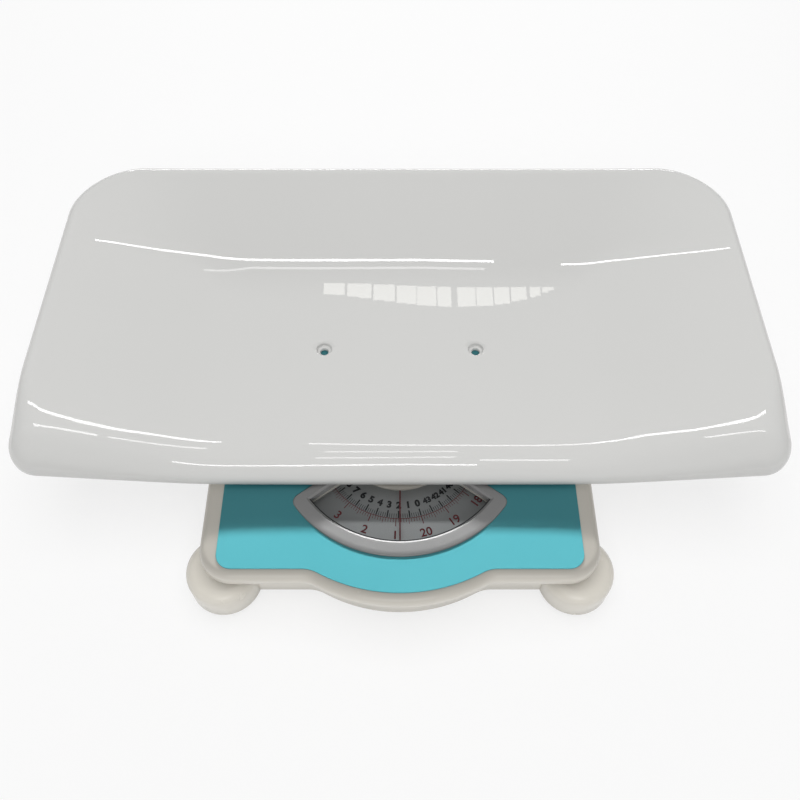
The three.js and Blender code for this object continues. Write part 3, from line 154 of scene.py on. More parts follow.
class Finish:
    """A material whose surface is built from named nodes."""

    def __init__(self, name):
        self.material = bpy.data.materials.new(name)
        self.material.use_nodes = True
        self.tree = self.material.node_tree
        self.tree.nodes.clear()
        self.out = self.tree.nodes.new("ShaderNodeOutputMaterial")

    def node(self, kind, settings=None, values=None, output=0):
        made = self.tree.nodes.new(kind)
        for key, setting in (settings or {}).items():
            setattr(made, key, setting)
        for key, value in (values or {}).items():
            socket = made.inputs[key]
            if isinstance(value, Value):
                self.tree.links.new(value.socket, socket)
            elif hasattr(value, "__len__") and len(value) == 3 and len(socket.default_value) == 4:
                socket.default_value = (*value, 1)
            else:
                socket.default_value = value
        return Value(self, made.outputs[output])

    def where(self):
        """The point on the piece at rest, in metres."""
        return self.node("ShaderNodeTexCoord", output=3)

    def noise(self, scale, detail=3.0, rough=0.5, stretch=(1, 1, 1)):
        spot = self.node("ShaderNodeVectorMath", {"operation": "MULTIPLY"},
                         {0: self.where(), 1: stretch})
        return self.node("ShaderNodeTexNoise", values={
            "Vector": spot, "Scale": scale, "Detail": detail, "Roughness": rough})

    def blend(self, factor, first, second):
        """Colour between two colours."""
        return self.node("ShaderNodeMix", {"data_type": "RGBA"},
                         {0: factor, 6: first, 7: second}, output=2)

    def rays(self, kind):
        return self.node("ShaderNodeLightPath", output=kind)

    def bump(self, height, depth_mm, strength):
        return self.node("ShaderNodeBump", values={
            "Strength": strength, "Distance": depth_mm * MM, "Height": height})

    def surface(self, **values):
        named = {key.replace("_", " "): value for key, value in values.items()}
        return self.node("ShaderNodeBsdfPrincipled", values=named)

    def done(self, shader):
        self.tree.links.new(shader.socket, self.out.inputs[0])
        return self.material


def pan_gloss():
    f = Finish("pan_gloss")
    drift = f.noise(7.0, 2.0)
    haze = f.noise(38.0, 4.0, 0.6)
    flow = f.noise(16.0, 1.0)
    colour = f.blend(drift, (0.672, 0.672, 0.658), (0.692, 0.690, 0.676))
    return f.done(f.surface(
        Base_Color=colour, Roughness=haze * 0.03 + 0.02, IOR=1.5, Coat_Weight=0.3,
        Normal=f.bump(flow, 0.03, 0.5)))


def cream_plastic():
    f = Finish("cream_plastic")
    drift = f.noise(11.0, 2.0)
    grain = f.noise(900.0, 2.0)
    rub = f.noise(60.0, 4.0, 0.6)
    colour = f.blend(drift, (0.655, 0.625, 0.560), (0.690, 0.658, 0.592))
    return f.done(f.surface(
        Base_Color=colour, Roughness=rub * 0.08 + 0.22, IOR=1.5, Normal=f.bump(grain, 0.008, 0.3)))


def teal_sheet():
    f = Finish("teal_sheet")
    drift = f.noise(14.0, 3.0)
    grain = f.noise(1500.0, 2.0)
    rub = f.noise(80.0, 3.0, 0.6)
    colour = f.blend(drift, (0.098, 0.455, 0.520), (0.120, 0.495, 0.560))
    return f.done(f.surface(
        Base_Color=colour, Roughness=rub * 0.12 + 0.30, IOR=1.36, Normal=f.bump(grain, 0.012, 0.3)))


def silver_paint():
    f = Finish("silver_paint")
    fleck = f.noise(2600.0, 1.0)
    drift = f.noise(30.0, 3.0)
    colour = f.blend(fleck, (0.370, 0.370, 0.370), (0.470, 0.470, 0.468))
    return f.done(f.surface(
        Base_Color=colour, Metallic=0.15, Roughness=drift * 0.10 + 0.24,
        Normal=f.bump(fleck, 0.006, 0.2)))


def clear_lens():
    f = Finish("clear_lens")
    see = f.node("ShaderNodeBsdfTransparent", values={"Color": (0.94, 0.95, 0.955)})
    shine = f.node("ShaderNodeBsdfGlossy", values={"Color": (1, 1, 1), "Roughness": 0.03})
    aslant = f.node("ShaderNodeLayerWeight", values={"Blend": 0.5}, output=1)
    mirrored = aslant ** 5 * 0.7 + 0.018
    return f.done(f.node("ShaderNodeMixShader", values={0: mirrored, 1: see, 2: shine}))


def dial_paint():
    f = Finish("dial_paint")
    drift = f.noise(20.0, 3.0)
    grain = f.noise(1800.0, 2.0)
    colour = f.blend(drift, (0.450, 0.450, 0.445), (0.510, 0.510, 0.504))
    return f.done(f.surface(
        Base_Color=colour, Roughness=grain * 0.12 + 0.38, Normal=f.bump(grain, 0.008, 0.3)))


def ink(name, dark, light):
    f = Finish(name)
    patch = f.noise(900.0, 3.0)
    colour = f.blend(patch, dark, light)
    return f.done(f.surface(Base_Color=colour, Roughness=patch * 0.2 + 0.4))


def zinc_steel():
    f = Finish("zinc_steel")
    roll = f.noise(220.0, 4.0, 0.6, (1, 8, 1))
    bloom = f.noise(35.0, 3.0)
    colour = f.blend(bloom, (0.520, 0.530, 0.540), (0.660, 0.665, 0.660))
    return f.done(f.surface(
        Base_Color=colour, Metallic=1.0, Roughness=roll * 0.25 + 0.25,
        Normal=f.bump(roll, 0.01, 0.3)))


def spring_steel():
    f = Finish("spring_steel")
    oil = f.noise(400.0, 3.0)
    colour = f.blend(oil, (0.300, 0.305, 0.320), (0.420, 0.425, 0.430))
    return f.done(f.surface(Base_Color=colour, Metallic=1.0, Roughness=oil * 0.2 + 0.2))


def turned_brass():
    f = Finish("turned_brass")
    turn = f.noise(700.0, 2.0, 0.5, (1, 1, 14))
    colour = f.blend(turn, (0.620, 0.450, 0.200), (0.760, 0.590, 0.300))
    return f.done(f.surface(Base_Color=colour, Metallic=1.0, Roughness=turn * 0.2 + 0.2))


def foot_rubber():
    f = Finish("foot_rubber")
    grain = f.noise(1400.0, 3.0)
    colour = f.blend(grain, (0.018, 0.018, 0.019), (0.040, 0.040, 0.041))
    return f.done(f.surface(
        Base_Color=colour, Roughness=grain * 0.2 + 0.6, Normal=f.bump(grain, 0.05, 0.5)))


def dark_plastic():
    f = Finish("dark_plastic")
    grain = f.noise(1200.0, 3.0)
    colour = f.blend(grain, (0.030, 0.032, 0.035), (0.050, 0.052, 0.056))
    return f.done(f.surface(
        Base_Color=colour, Roughness=grain * 0.2 + 0.35, Normal=f.bump(grain, 0.02, 0.4)))


FINISHES = {
    "pan_plastic": pan_gloss(),
    "cream_plastic": cream_plastic(),
    "teal_sheet": teal_sheet(),
    "silver_plastic": silver_paint(),
    "clear_plastic": clear_lens(),
    "dial_paint": dial_paint(),
    "red_paint": ink("red_ink", (0.210, 0.012, 0.018), (0.300, 0.022, 0.030)),
    "black_paint": ink("black_ink", (0.008, 0.008, 0.010), (0.025, 0.025, 0.030)),
    "zinc_steel": zinc_steel(),
    "spring_steel": spring_steel(),
    "brass": turned_brass(),
    "foot_rubber": foot_rubber(),
    "dark_plastic": dark_plastic(),
}


# ---- mesh tools
def place(points):
    """Millimetres about the middle of the base, as metres in the frame."""
    spots = np.asarray(points, float) * MM
    spots[:, 1] += BASE_SHIFT_Y * MM
    return spots


def body_of_node(name):
    bodies = frame["record"]["behaviour"]["bodies"]
    return next(body for body, nodes in bodies.items() if name in nodes)


def added(name, data):
    """A new object in the scene."""
    made = bpy.data.objects.new(name, data)
    bpy.context.scene.collection.objects.link(made)
    return made


def soften(mesh, degrees):
    for polygon in mesh.polygons:
        polygon.use_smooth = True
    mesh.set_sharp_from_angle(angle=math.radians(degrees))


def mesh_of(points, faces):
    mesh = bpy.data.meshes.new("form")
    mesh.from_pydata([tuple(p) for p in place(points)], [], faces)
    mesh.validate()
    work = bmesh.new()
    work.from_mesh(mesh)
    bmesh.ops.remove_doubles(work, verts=work.verts, dist=0.002 * MM)
    bmesh.ops.recalc_face_normals(work, faces=work.faces)
    work.to_mesh(mesh)
    work.free()
    return mesh


def as_shown(piece):
    """The object's mesh after its modifiers, or a text's mesh."""
    return bpy.data.meshes.new_from_object(
        piece.evaluated_get(bpy.context.evaluated_depsgraph_get()))


def shaped(mesh, steps):
    """The mesh after joining ('UNION') and cutting ('DIFFERENCE') other meshes, in order."""
    piece = added("scratch", mesh)
    tools = []
    for operation, tool_mesh in steps:
        tool = added("scratch", tool_mesh)
        tools.append(tool)
        change = piece.modifiers.new("change", "BOOLEAN")
        change.operation = operation
        change.solver = "EXACT"
        change.object = tool
    bpy.context.view_layer.update()
    result = as_shown(piece)
    for spent in [piece, *tools]:
        bpy.data.objects.remove(spent)
    return result


def fitted(name, mesh, node, finish, smooth):
    """Adds a fine piece that rides on a node's body."""
    piece = added(name, mesh)
    mesh.materials.clear()
    mesh.materials.append(FINISHES[finish])
    soften(mesh, smooth)
    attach(piece, body_of_node(node))
    return piece


def dressed(name, mesh, node, finish, smooth):
    """Shows a fine piece in place of a node."""
    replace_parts(fitted(name, mesh, node, finish, smooth), node)


def stacked(loops):
    """Skin through loops of equal count, with flat ends."""
    count = len(loops[0])
    points = [p for loop in loops for p in loop]
    faces = []
    for k in range(len(loops) - 1):
        for i in range(count):
            j = (i + 1) % count
            low, high = k * count, (k + 1) * count
            faces.append((low + i, low + j, high + j, high + i))
    faces.append(tuple(range(count - 1, -1, -1)))
    faces.append(tuple(range((len(loops) - 1) * count, len(loops) * count)))
    return mesh_of(points, faces)


def slab(outline, z0, z1):
    return stacked([[(x, y, z0) for x, y in outline], [(x, y, z1) for x, y in outline]])


def turned(profile, x, y, sides):
    """A profile of (radius, height) pairs swept about an upright axis; the ends lie on the axis."""
    points, faces, rows = [], [], []
    for radius, z in profile:
        if radius <= 0:
            rows.append([len(points)])
            points.append((x, y, z))
            continue
        rows.append(list(range(len(points), len(points) + sides)))
        for i in range(sides):
            a = 2 * math.pi * i / sides
            points.append((x + radius * math.cos(a), y + radius * math.sin(a), z))
    for low, high in zip(rows, rows[1:]):
        for i in range(sides):
            j = (i + 1) % sides
            face = [low[i % len(low)], low[j % len(low)], high[j % len(high)], high[i % len(high)]]
            kept = list(dict.fromkeys(face))
            if len(kept) > 2:
                faces.append(tuple(kept))
    return mesh_of(points, faces)


def disc(radius, z0, z1, x, y, sides):
    return turned([(0, z0), (radius, z0), (radius, z1), (0, z1)], x, y, sides)


def rounding(radius, z, count, inset=0.0):
    """Quarter turn from upright to flat: pairs of (inwards, height)."""
    return [(inset + radius * (1 - math.cos(a)), z - radius + radius * math.sin(a))
            for a in np.linspace(0, math.pi / 2, count + 1)]


def box(x0, x1, y0, y1, z0, z1):
    return slab([(x0, y0), (x1, y0), (x1, y1), (x0, y1)], z0, z1)


def crossbar(radius, x0, x1, y, z, sides=24):
    """Round bar along x."""
    turns = [2 * math.pi * i / sides for i in range(sides)]
    return stacked([[(x, y + radius * math.cos(a), z + radius * math.sin(a)) for a in turns]
                    for x in (x0, x1)])


# ---- outlines
def arc(cx, cy, radius, start, end, steps):
    return [(cx + radius * math.cos(a), cy + radius * math.sin(a))
            for a in np.linspace(start, end, steps + 1)]


def base_outline(inset, side_inset=None):
    """Rounded square with a round bulge in front, drawn inwards by an inset."""
    side_inset = inset if side_inset is None else side_inset
    half_x, half_y = HALF_WIDE - side_inset, HALF_DEEP - inset
    corner = max(CORNER - side_inset, 1.5)
    bulge, fillet = BULGE_RADIUS - inset, BULGE_FILLET + inset
    drop = half_y + fillet + DIAL_Y
    fillet_x = math.sqrt((bulge + fillet) ** 2 - drop ** 2)
    meet = math.atan2(-drop, fillet_x)
    quarter = math.pi / 2
    points = []
    points += arc(half_x - corner, corner - half_y, corner, -quarter, 0, 14)
    points += arc(half_x - corner, half_y - corner, corner, 0, quarter, 14)
    points += arc(corner - half_x, half_y - corner, corner, quarter, 2 * quarter, 14)
    points += arc(corner - half_x, corner - half_y, corner, 2 * quarter, 3 * quarter, 14)
    points += arc(-fillet_x, -half_y - fillet, fillet, quarter, -meet, 12)
    points += arc(0, DIAL_Y, bulge, math.pi - meet, 2 * math.pi + meet, 72)[1:-1]
    points += arc(fillet_x, -half_y - fillet, fillet, math.pi + meet, quarter, 12)
    return points


def window_outline(inner, outer, grow, side_grow, corner, steps=64):
    """Ring sector about the dial's centre, open to the front."""
    r0, r1 = inner - grow, outer + grow

    def at(r, a):
        return (r * math.sin(a), DIAL_Y - r * math.cos(a))

    def side(r):
        return WINDOW_HALF + math.asin(side_grow / r)

    def bend(c0, c1, c2):
        return [tuple((1 - t) ** 2 * p + 2 * t * (1 - t) * q + t * t * r
                      for p, q, r in zip(c0, c1, c2)) for t in np.linspace(0, 1, 11)]

    trim, below = corner / r1, r1 - corner
    far, near = side(r1), side(below)
    points = [at(r1, a) for a in np.linspace(-far + trim, far - trim, steps + 1)]
    if corner:
        points += bend(at(r1, far - trim), at(r1, far), at(below, near))[1:]
    points += [at(r0, a) for a in np.linspace(side(r0), -side(r0), steps // 2 + 1)]
    if corner:
        points += bend(at(below, -near), at(r1, -far), at(r1, trim - far))[:-1]
    return points


# ---- pan
def pan_runs():
    """The outline as runs: how many steps, and the point and outward way at a share of each."""
    half_y = (PAN_BACK - PAN_FRONT) / 2
    f, b = PAN_CORNER_FRONT, PAN_CORNER_BACK

    def straight(steps, x0, y0, x1, y1):
        length = math.hypot(x1 - x0, y1 - y0)
        nx, ny = (y1 - y0) / length, (x0 - x1) / length
        return steps, lambda t: (x0 + (x1 - x0) * t, y0 + (y1 - y0) * t, nx, ny)

    def bend(steps, cx, cy, r, a0):
        def at(t):
            a = a0 + t * math.pi / 2
            return cx + r * math.cos(a), cy + r * math.sin(a), math.cos(a), math.sin(a)
        return steps, at

    quarter = math.pi / 2
    return [
        straight(9, 0, -half_y, PAN_HALF - f, -half_y),
        bend(5, PAN_HALF - f, f - half_y, f, -quarter),
        straight(8, PAN_HALF, f - half_y, PAN_HALF, half_y - b),
        bend(8, PAN_HALF - b, half_y - b, b, 0),
        straight(16, PAN_HALF - b, half_y, b - PAN_HALF, half_y),
        bend(8, b - PAN_HALF, half_y - b, b, quarter),
        straight(8, -PAN_HALF, half_y - b, -PAN_HALF, f - half_y),
        bend(5, f - PAN_HALF, f - half_y, f, 2 * quarter),
        straight(9, f - PAN_HALF, -half_y, 0, -half_y),
    ]


def past_crease(distance, soft):
    """0 before a crease, and the distance beyond it, rounded off where they meet."""
    return (distance + math.hypot(distance, soft)) / 2


def pan_flare(x):
    """0 over the pan's flat middle, rising to 1 at its ends."""
    whole = past_crease(PAN_HALF - PAN_FLAT_HALF, PAN_FLARE_SOFT)
    return past_crease(abs(x) - PAN_FLAT_HALF, PAN_FLARE_SOFT) / whole


def pan_base(x, y):
    """Height of the pan's upper face before the lip falls away."""
    front = max(0.0, (PAN_LOW_Y - y) / (PAN_LOW_Y - PAN_FRONT))
    back = max(0.0, (y - PAN_LOW_Y) / (PAN_CREASE_Y - PAN_LOW_Y))
    back_end = (PAN_BACK - PAN_LOW_Y) / (PAN_CREASE_Y - PAN_LOW_Y)
    wall = past_crease(PAN_BACK - PAN_CREASE_Y, PAN_CREASE_SOFT)
    steep = (PAN_RISE - PAN_CREASE_RISE * back_end ** 2) / wall
    trough = PAN_FLOOR + PAN_FRONT_RISE * front ** 2 + PAN_CREASE_RISE * back ** 2
    trough += steep * past_crease(y - PAN_CREASE_Y, PAN_CREASE_SOFT)
    return trough + (PAN_FLOOR + PAN_RISE - trough) * pan_flare(x)


class PanEdge:
    """A point of the pan's outline and how the lip is shaped there."""

    runs = pan_runs()
    sides = sum(steps for steps, at in runs)
    mid_y = (PAN_FRONT + PAN_BACK) / 2

    def __init__(self, around):
        left = (around % 1.0) * self.sides
        for steps, at in self.runs:
            if left <= steps:
                break
            left -= steps
        self.x, self.y, self.nx, self.ny = at(left / steps)
        wrap = min(1.0, max(0.0, 1 - (self.y + self.mid_y - PAN_FRONT) / PAN_FRONT_WRAP))
        front = wrap * wrap * (3 - 2 * wrap)
        back = max(0.0, self.ny) ** 2
        end = 1 - front - back
        front_drop = PAN_DROP_FRONT + (PAN_DROP_CORNER - PAN_DROP_FRONT) * pan_flare(self.x)
        self.lip = PAN_LIP_FRONT * front + PAN_LIP_END * end + PAN_LIP_BACK * back
        self.drop = front_drop * front + PAN_DROP_END * end + PAN_DROP_BACK * back
        self.down = PAN_EDGE + (PAN_EDGE_END - PAN_EDGE) * (1 - front)
        self.support = self.x * self.nx + self.y * self.ny
        side_start = 1 - self.lip / self.support
        if self.ny < 0:
            side_start = (PAN_HALF - self.lip) / max(abs(self.x), 1)
        front_start = (PAN_FRONT + PAN_LIP_FRONT - self.mid_y) / self.y if self.y < 0 else 1
        self.start = min(side_start, front_start)
        self.rim_near = self.near(1)

    def near(self, share):
        """0 inside the lip, growing to the rim; share is the way from the middle to the outline."""
        side_gap = (1 - share) * self.support
        if self.ny < 0:
            side_gap = PAN_HALF - abs(self.x * share)
        front_gap = self.mid_y + self.y * share - PAN_FRONT
        near_side = max(0.0, 1 - side_gap / self.lip)
        near_front = max(0.0, 1 - front_gap / PAN_LIP_FRONT)
        return (near_side ** 3 + near_front ** 3) ** (1 / 3)

    def top(self, share):
        x, y = self.x * share, self.mid_y + self.y * share
        near = self.near(share) / self.rim_near
        fall = self.drop * (1 - math.sqrt(max(0.0, 1 - near * near)))
        return np.array((x, y, pan_base(x, y) - fall))


def pan_column(edge, after, before):
    """Points from the pan's middle out over the lip, round its rim and back underneath."""
    inner, lip, rim = 44, 20, 7
    reach, lean = 0.0002, 0.3
    upright, trim, turn_round = 0.7, 0.3, 1.2
    shares = [edge.start * k / inner for k in range(1, inner + 1)]
    shares += [1 - (1 - edge.start) * (1 - math.sin(math.pi / 2 * k / lip))
               for k in range(1, lip + 1)]
    column, lower = [], []
    for share in shares:
        point = edge.top(share)
        column.append(point)
        if share < 1:
            out = edge.top(min(1.0, share + reach)) - edge.top(share - reach)
            normal = np.cross(out, after.top(share) - before.top(share))
            normal /= np.linalg.norm(normal)
            up = normal[2] + lean * (normal[0] * edge.nx + normal[1] * edge.ny)
            lower.append(point - PAN_WALL * normal * math.copysign(1, up))
    edge_top = column[-1]
    inward = np.array((edge.nx, edge.ny, 0.0)) * PAN_WALL
    low = np.array((0, 0, edge.down))
    lower.append(edge_top - inward)
    column.append(edge_top - low * upright)
    for a in np.linspace(trim, math.pi - trim, rim):
        lift = np.array((0, 0, turn_round - turn_round * math.sin(a)))
        column.append(edge_top - low - inward / 2 + inward / 2 * math.cos(a) + lift)
    return column + lower[::-1]


def pan_fittings():
    """The bosses and pads underneath, and the sunk holes."""
    foot = PLATFORM_TOP + GAP + SHEET_THICK + GAP
    sink_floor = PAN_FLOOR - PAN_SINK_DEEP
    level = pan_base(PAN_HOLE_X, PAN_HOLE_Y)
    boss, pad, bore, sink = PAN_BOSS_RADIUS, PAN_PAD_RADIUS, PAN_HOLE_RADIUS, PAN_SINK_RADIUS
    boss_form = [(0, foot), (boss - 0.6, foot), (boss, foot + 0.6), (boss, PAN_FLOOR - 2.2),
                 (boss + 1.4, PAN_FLOOR - 1.2), (0, PAN_FLOOR - 1.2)]
    pad_form = [(0, foot), (pad - 0.6, foot), (pad, foot + 0.6), (pad, PAN_FLOOR - 0.6),
                (pad + 1.2, PAN_FLOOR + 0.4), (0, PAN_FLOOR + 0.4)]
    hole_form = [(0, foot - 2), (bore, foot - 2), (bore, sink_floor - 0.3),
                 (bore + 0.3, sink_floor), (sink - 0.8, sink_floor), (sink - 0.2, sink_floor + 0.5)]
    hole_form += [(sink + inwards, z) for inwards, z in rounding(PAN_SINK_EDGE, level, 6)]
    hole_form += [(sink + 1.9, level + 0.5), (sink + 1.9, level + 3), (0, level + 3)]
    steps = []
    for x in (-PAN_HOLE_X, PAN_HOLE_X):
        steps.append(("UNION", turned(boss_form, x, PAN_HOLE_Y, 48)))
        steps.append(("UNION", turned(pad_form, x, PAN_PAD_Y, 40)))
        steps.append(("DIFFERENCE", turned(hole_form, x, PAN_HOLE_Y, 56)))
    return steps


def make_pan():
    turns = 8 * PanEdge.sides
    edges, ahead, behind = ([PanEdge((i + aside) / turns) for i in range(turns)]
                            for aside in (0, 0.05, -0.05))
    columns = [pan_column(*trio) for trio in zip(edges, ahead, behind)]
    centre = np.array((0, PanEdge.mid_y, pan_base(0, PanEdge.mid_y)))
    rows = len(columns[0])
    points = [centre, *(p for column in columns for p in column), centre - (0, 0, PAN_WALL)]
    faces = []
    for i in range(turns):
        j = (i + 1) % turns
        a, b = 1 + i * rows, 1 + j * rows
        faces.append((0, a, b))
        faces += [(a + k, a + k + 1, b + k + 1, b + k) for k in range(rows - 1)]
        faces.append((a + rows - 1, len(points) - 1, b + rows - 1))
    crown = cad_box[1].z / MM
    pan = mesh_of([(x, y, min(z, crown)) for x, y, z in points], faces)
    dressed("pan_shell", shaped(pan, pan_fittings()), "baby_pan", "pan_plastic", 50)


# ---- platform
def make_platform():
    outer = [(1.0, PLATFORM_RIM), (0.3, PLATFORM_RIM + 0.3), (0.0, PLATFORM_RIM + 1.0)]
    outer += rounding(PLATFORM_ROUND, PLATFORM_TOP, 10)
    inner = [(LID_SKIRT, PLATFORM_RIM), (LID_SKIRT, PLATFORM_RIM + 1.0)]
    inner += rounding(PLATFORM_ROUND - LID_SKIRT, PLATFORM_TOP - PLATFORM_SKIN, 6, LID_SKIRT)
    lid = stacked([[(x, y, z) for x, y in base_outline(inset)] for inset, z in inner[::-1] + outer])
    rib_top = PLATFORM_TOP - 1.2
    rib_foot = PLATFORM_TOP - PLATFORM_SKIN - RIB_DEEP
    grow = LINING_THICK + GAP
    steps = [(operation, slab(window_outline(WELL_INNER, WINDOW_OUTER, wide, side_wide, 0), z0, z1))
             for operation, wide, side_wide, z0, z1 in (
                 ("UNION", grow + 2, grow + 2, LEDGE_UNDER, rib_top),
                 ("DIFFERENCE", grow, grow, LEDGE_TOP, PLATFORM_TOP + 1),
                 ("DIFFERENCE", 0, 0.001, LEDGE_UNDER - 1, PLATFORM_TOP + 1))]
    hole = disc(LID_HOLE_RADIUS, PLATFORM_TOP - 4, PLATFORM_TOP + 1, 0, DIAL_Y, 48)
    steps.append(("DIFFERENCE", hole))
    for x in (-RIB_AT, RIB_AT):
        steps.append(("UNION", box(x - RIB_HALF, x + RIB_HALF, -RIB_LONG, RIB_LONG,
                                   rib_foot, rib_top)))
    steps.append(("UNION", box(-RIB_AT, RIB_AT, RIB_AT - RIB_HALF, RIB_AT + RIB_HALF,
                               rib_foot, rib_top)))
    for x in (-LEVER_X, LEVER_X):
        for y in (LOAD_ARM - FULCRUM_Y, FULCRUM_Y - LOAD_ARM):
            room, past = POST_X - POST_WALL, POST_X + 1
            post = shaped(box(x - POST_X, x + POST_X, y - POST_Y, y + POST_Y,
                              PIVOT_Z - POST_WALL, rib_top), [
                ("DIFFERENCE", box(x - room, x + room, y - POST_Y - 1, y + POST_Y + 1,
                                   PIVOT_Z - 3, rib_foot + 2)),
                ("DIFFERENCE", crossbar(SADDLE_RADIUS, x - past, x + past, y, PIVOT_Z)),
                ("DIFFERENCE", box(x - past, x + past, y - SADDLE_RADIUS, y + SADDLE_RADIUS,
                                   PIVOT_Z - 4, PIVOT_Z)),
            ])
            steps.append(("UNION", post))
    dressed("platform_lid", shaped(lid, steps), "platform", "cream_plastic", 35)


def make_sheet():
    z0, z1, bevel = BEZEL_SEAT, BEZEL_SEAT + SHEET_THICK, 0.15
    whole = stacked([[(x, y, z) for x, y in base_outline(SHEET_INSET + d, SHEET_SIDE_INSET + d)]
                     for d, z in ((0.0, z0), (0.0, z1 - bevel), (bevel, z1))])
    window = window_outline(WINDOW_INNER, WINDOW_OUTER + BEZEL_WIDE, GAP, BEZEL_SIDE + GAP,
                            BEZEL_CORNER)
    steps = [("DIFFERENCE", slab(window, z0 - 1, z1 + 1)),
             ("DIFFERENCE", disc(HUB_CLEAR_RADIUS, z0 - 1, z1 + 1, 0, DIAL_Y, 96))]
    dressed("printed_sheet", shaped(whole, steps), "top_sheet", "teal_sheet", 30)


# ---- window
def make_bezel():
    high = BEZEL_SEAT + BEZEL_THICK
    foot, edge = 0.4, 0.9
    rim = [(0.0, BEZEL_SEAT), (0.0, BEZEL_SEAT + foot)]
    rim += [(edge * (1 - math.cos(a)), BEZEL_SEAT + foot + edge * math.sin(a))
            for a in np.linspace(0.2, 1.3, 5)]
    rim += [(4.0, high - 0.45), (8.0, high - 0.1), (9.0, high)]
    loops = []
    for d, z in rim:
        outline = window_outline(WINDOW_INNER, WINDOW_OUTER + BEZEL_WIDE, -d,
                                 max(BEZEL_SIDE - d, 0.2), BEZEL_CORNER)
        loops.append([(x, y, z) for x, y in outline])
    lining = slab(window_outline(WINDOW_INNER, WINDOW_OUTER, LINING_THICK, LINING_THICK, 0),
                  LINING_FOOT, BEZEL_SEAT + 0.5)
    inner = WINDOW_INNER - BEZEL_WIDE
    splay = [(0.0, LINING_FOOT - 1), (0.0, high - 1.6), (0.9, high - 0.9), (1.5, high - 0.3),
             (2.0, high + 1)]
    opening = stacked([[(x, y, z) for x, y in window_outline(inner + d, WINDOW_OUTER, d,
                                                            max(d, 0.001), 0)]
                       for d, z in splay])
    hub = disc(HUB_CLEAR_RADIUS, LINING_FOOT - 1, high + 1, 0, DIAL_Y, 120)
    steps = [("UNION", lining), ("DIFFERENCE", opening), ("DIFFERENCE", hub)]
    dressed("window_frame", shaped(stacked(loops), steps), "window_bezel", "silver_plastic", 32)


def make_lens():
    outline = window_outline(WELL_INNER, WINDOW_OUTER, LINING_THICK, LINING_THICK, 0)
    dressed("lens_pane", slab(outline, LENS_UNDER, LENS_TOP), "window_lens", "clear_plastic", 30)
    line_top = LENS_UNDER - GAP / 2
    line = box(-LINE_WIDE / 2, LINE_WIDE / 2, DIAL_Y - WINDOW_OUTER + GAP,
               DIAL_Y - WELL_INNER - GAP, line_top - LINE_THICK, line_top)
    dressed("lens_line", line, "reading_line", "red_paint", 30)


def make_seal():
    """Painted shade: a thin dark strip round the lens, up the bezel's lining, where the lens's edge
    lies in shadow.
    """
    turns = np.linspace(-WINDOW_HALF, WINDOW_HALF, 73)
    strip = [(r * math.sin(a), DIAL_Y - r * math.cos(a))
             for r, way in ((WINDOW_OUTER, turns), (WINDOW_OUTER - SHADE_STRIP_WIDE, turns[::-1]))
             for a in way]
    # painted shade: a dark strip standing in for the shadow at the lens's edge
    shade_strip = slab(strip, LENS_TOP, BEZEL_SEAT + BEZEL_THICK - SHADE_STRIP_SINK)
    fitted("lens_seal", shade_strip, "window_bezel", "dark_plastic", 30)


def make_hub_cover():
    z0 = BEZEL_SEAT
    z1 = z0 + HUB_COVER_THICK
    r, edge, spigot, chamfer = HUB_COVER_RADIUS, 1.4, 10.0, 0.4
    profile = [(0, z0 - 1.6), (spigot - chamfer, z0 - 1.6), (spigot, z0 - 1.6 + chamfer),
               (spigot, z0), (r, z0), (r, z1 - edge)]
    profile += [(r - edge * (1 - math.cos(a)), z1 - edge + edge * math.sin(a))
                for a in np.linspace(0.2, 1.5, 7)]
    profile += [(r - 6, z1 - 0.02), (0, z1)]
    cover = turned(profile, 0, DIAL_Y, 128)
    dressed("hub_cover", cover, "dial_hub_cover", "cream_plastic", 35)


# ---- housing and feet
def ear_profile():
    r, low = EAR_RADIUS, HOUSING_FLOOR
    profile = [(0, low), (r - 1.2, low), (r - 0.35, low + 0.35), (r, low + 1.2)]
    profile += [(r - inwards, z) for inwards, z in rounding(EAR_ROUND, EAR_TOP, 12)]
    return profile + [(0, EAR_TOP)]


def ear_room():
    """The hollow inside an ear."""
    r, low, high = EAR_RADIUS - HOUSING_WALL, HOUSING_FLOOR + HOUSING_WALL, EAR_TOP - HOUSING_WALL
    arch = EAR_ROUND - HOUSING_WALL
    room = [(0, low), (r, low)]
    room += [(r - inwards, z) for inwards, z in rounding(arch, high, 6)]
    return room + [(0, high)]


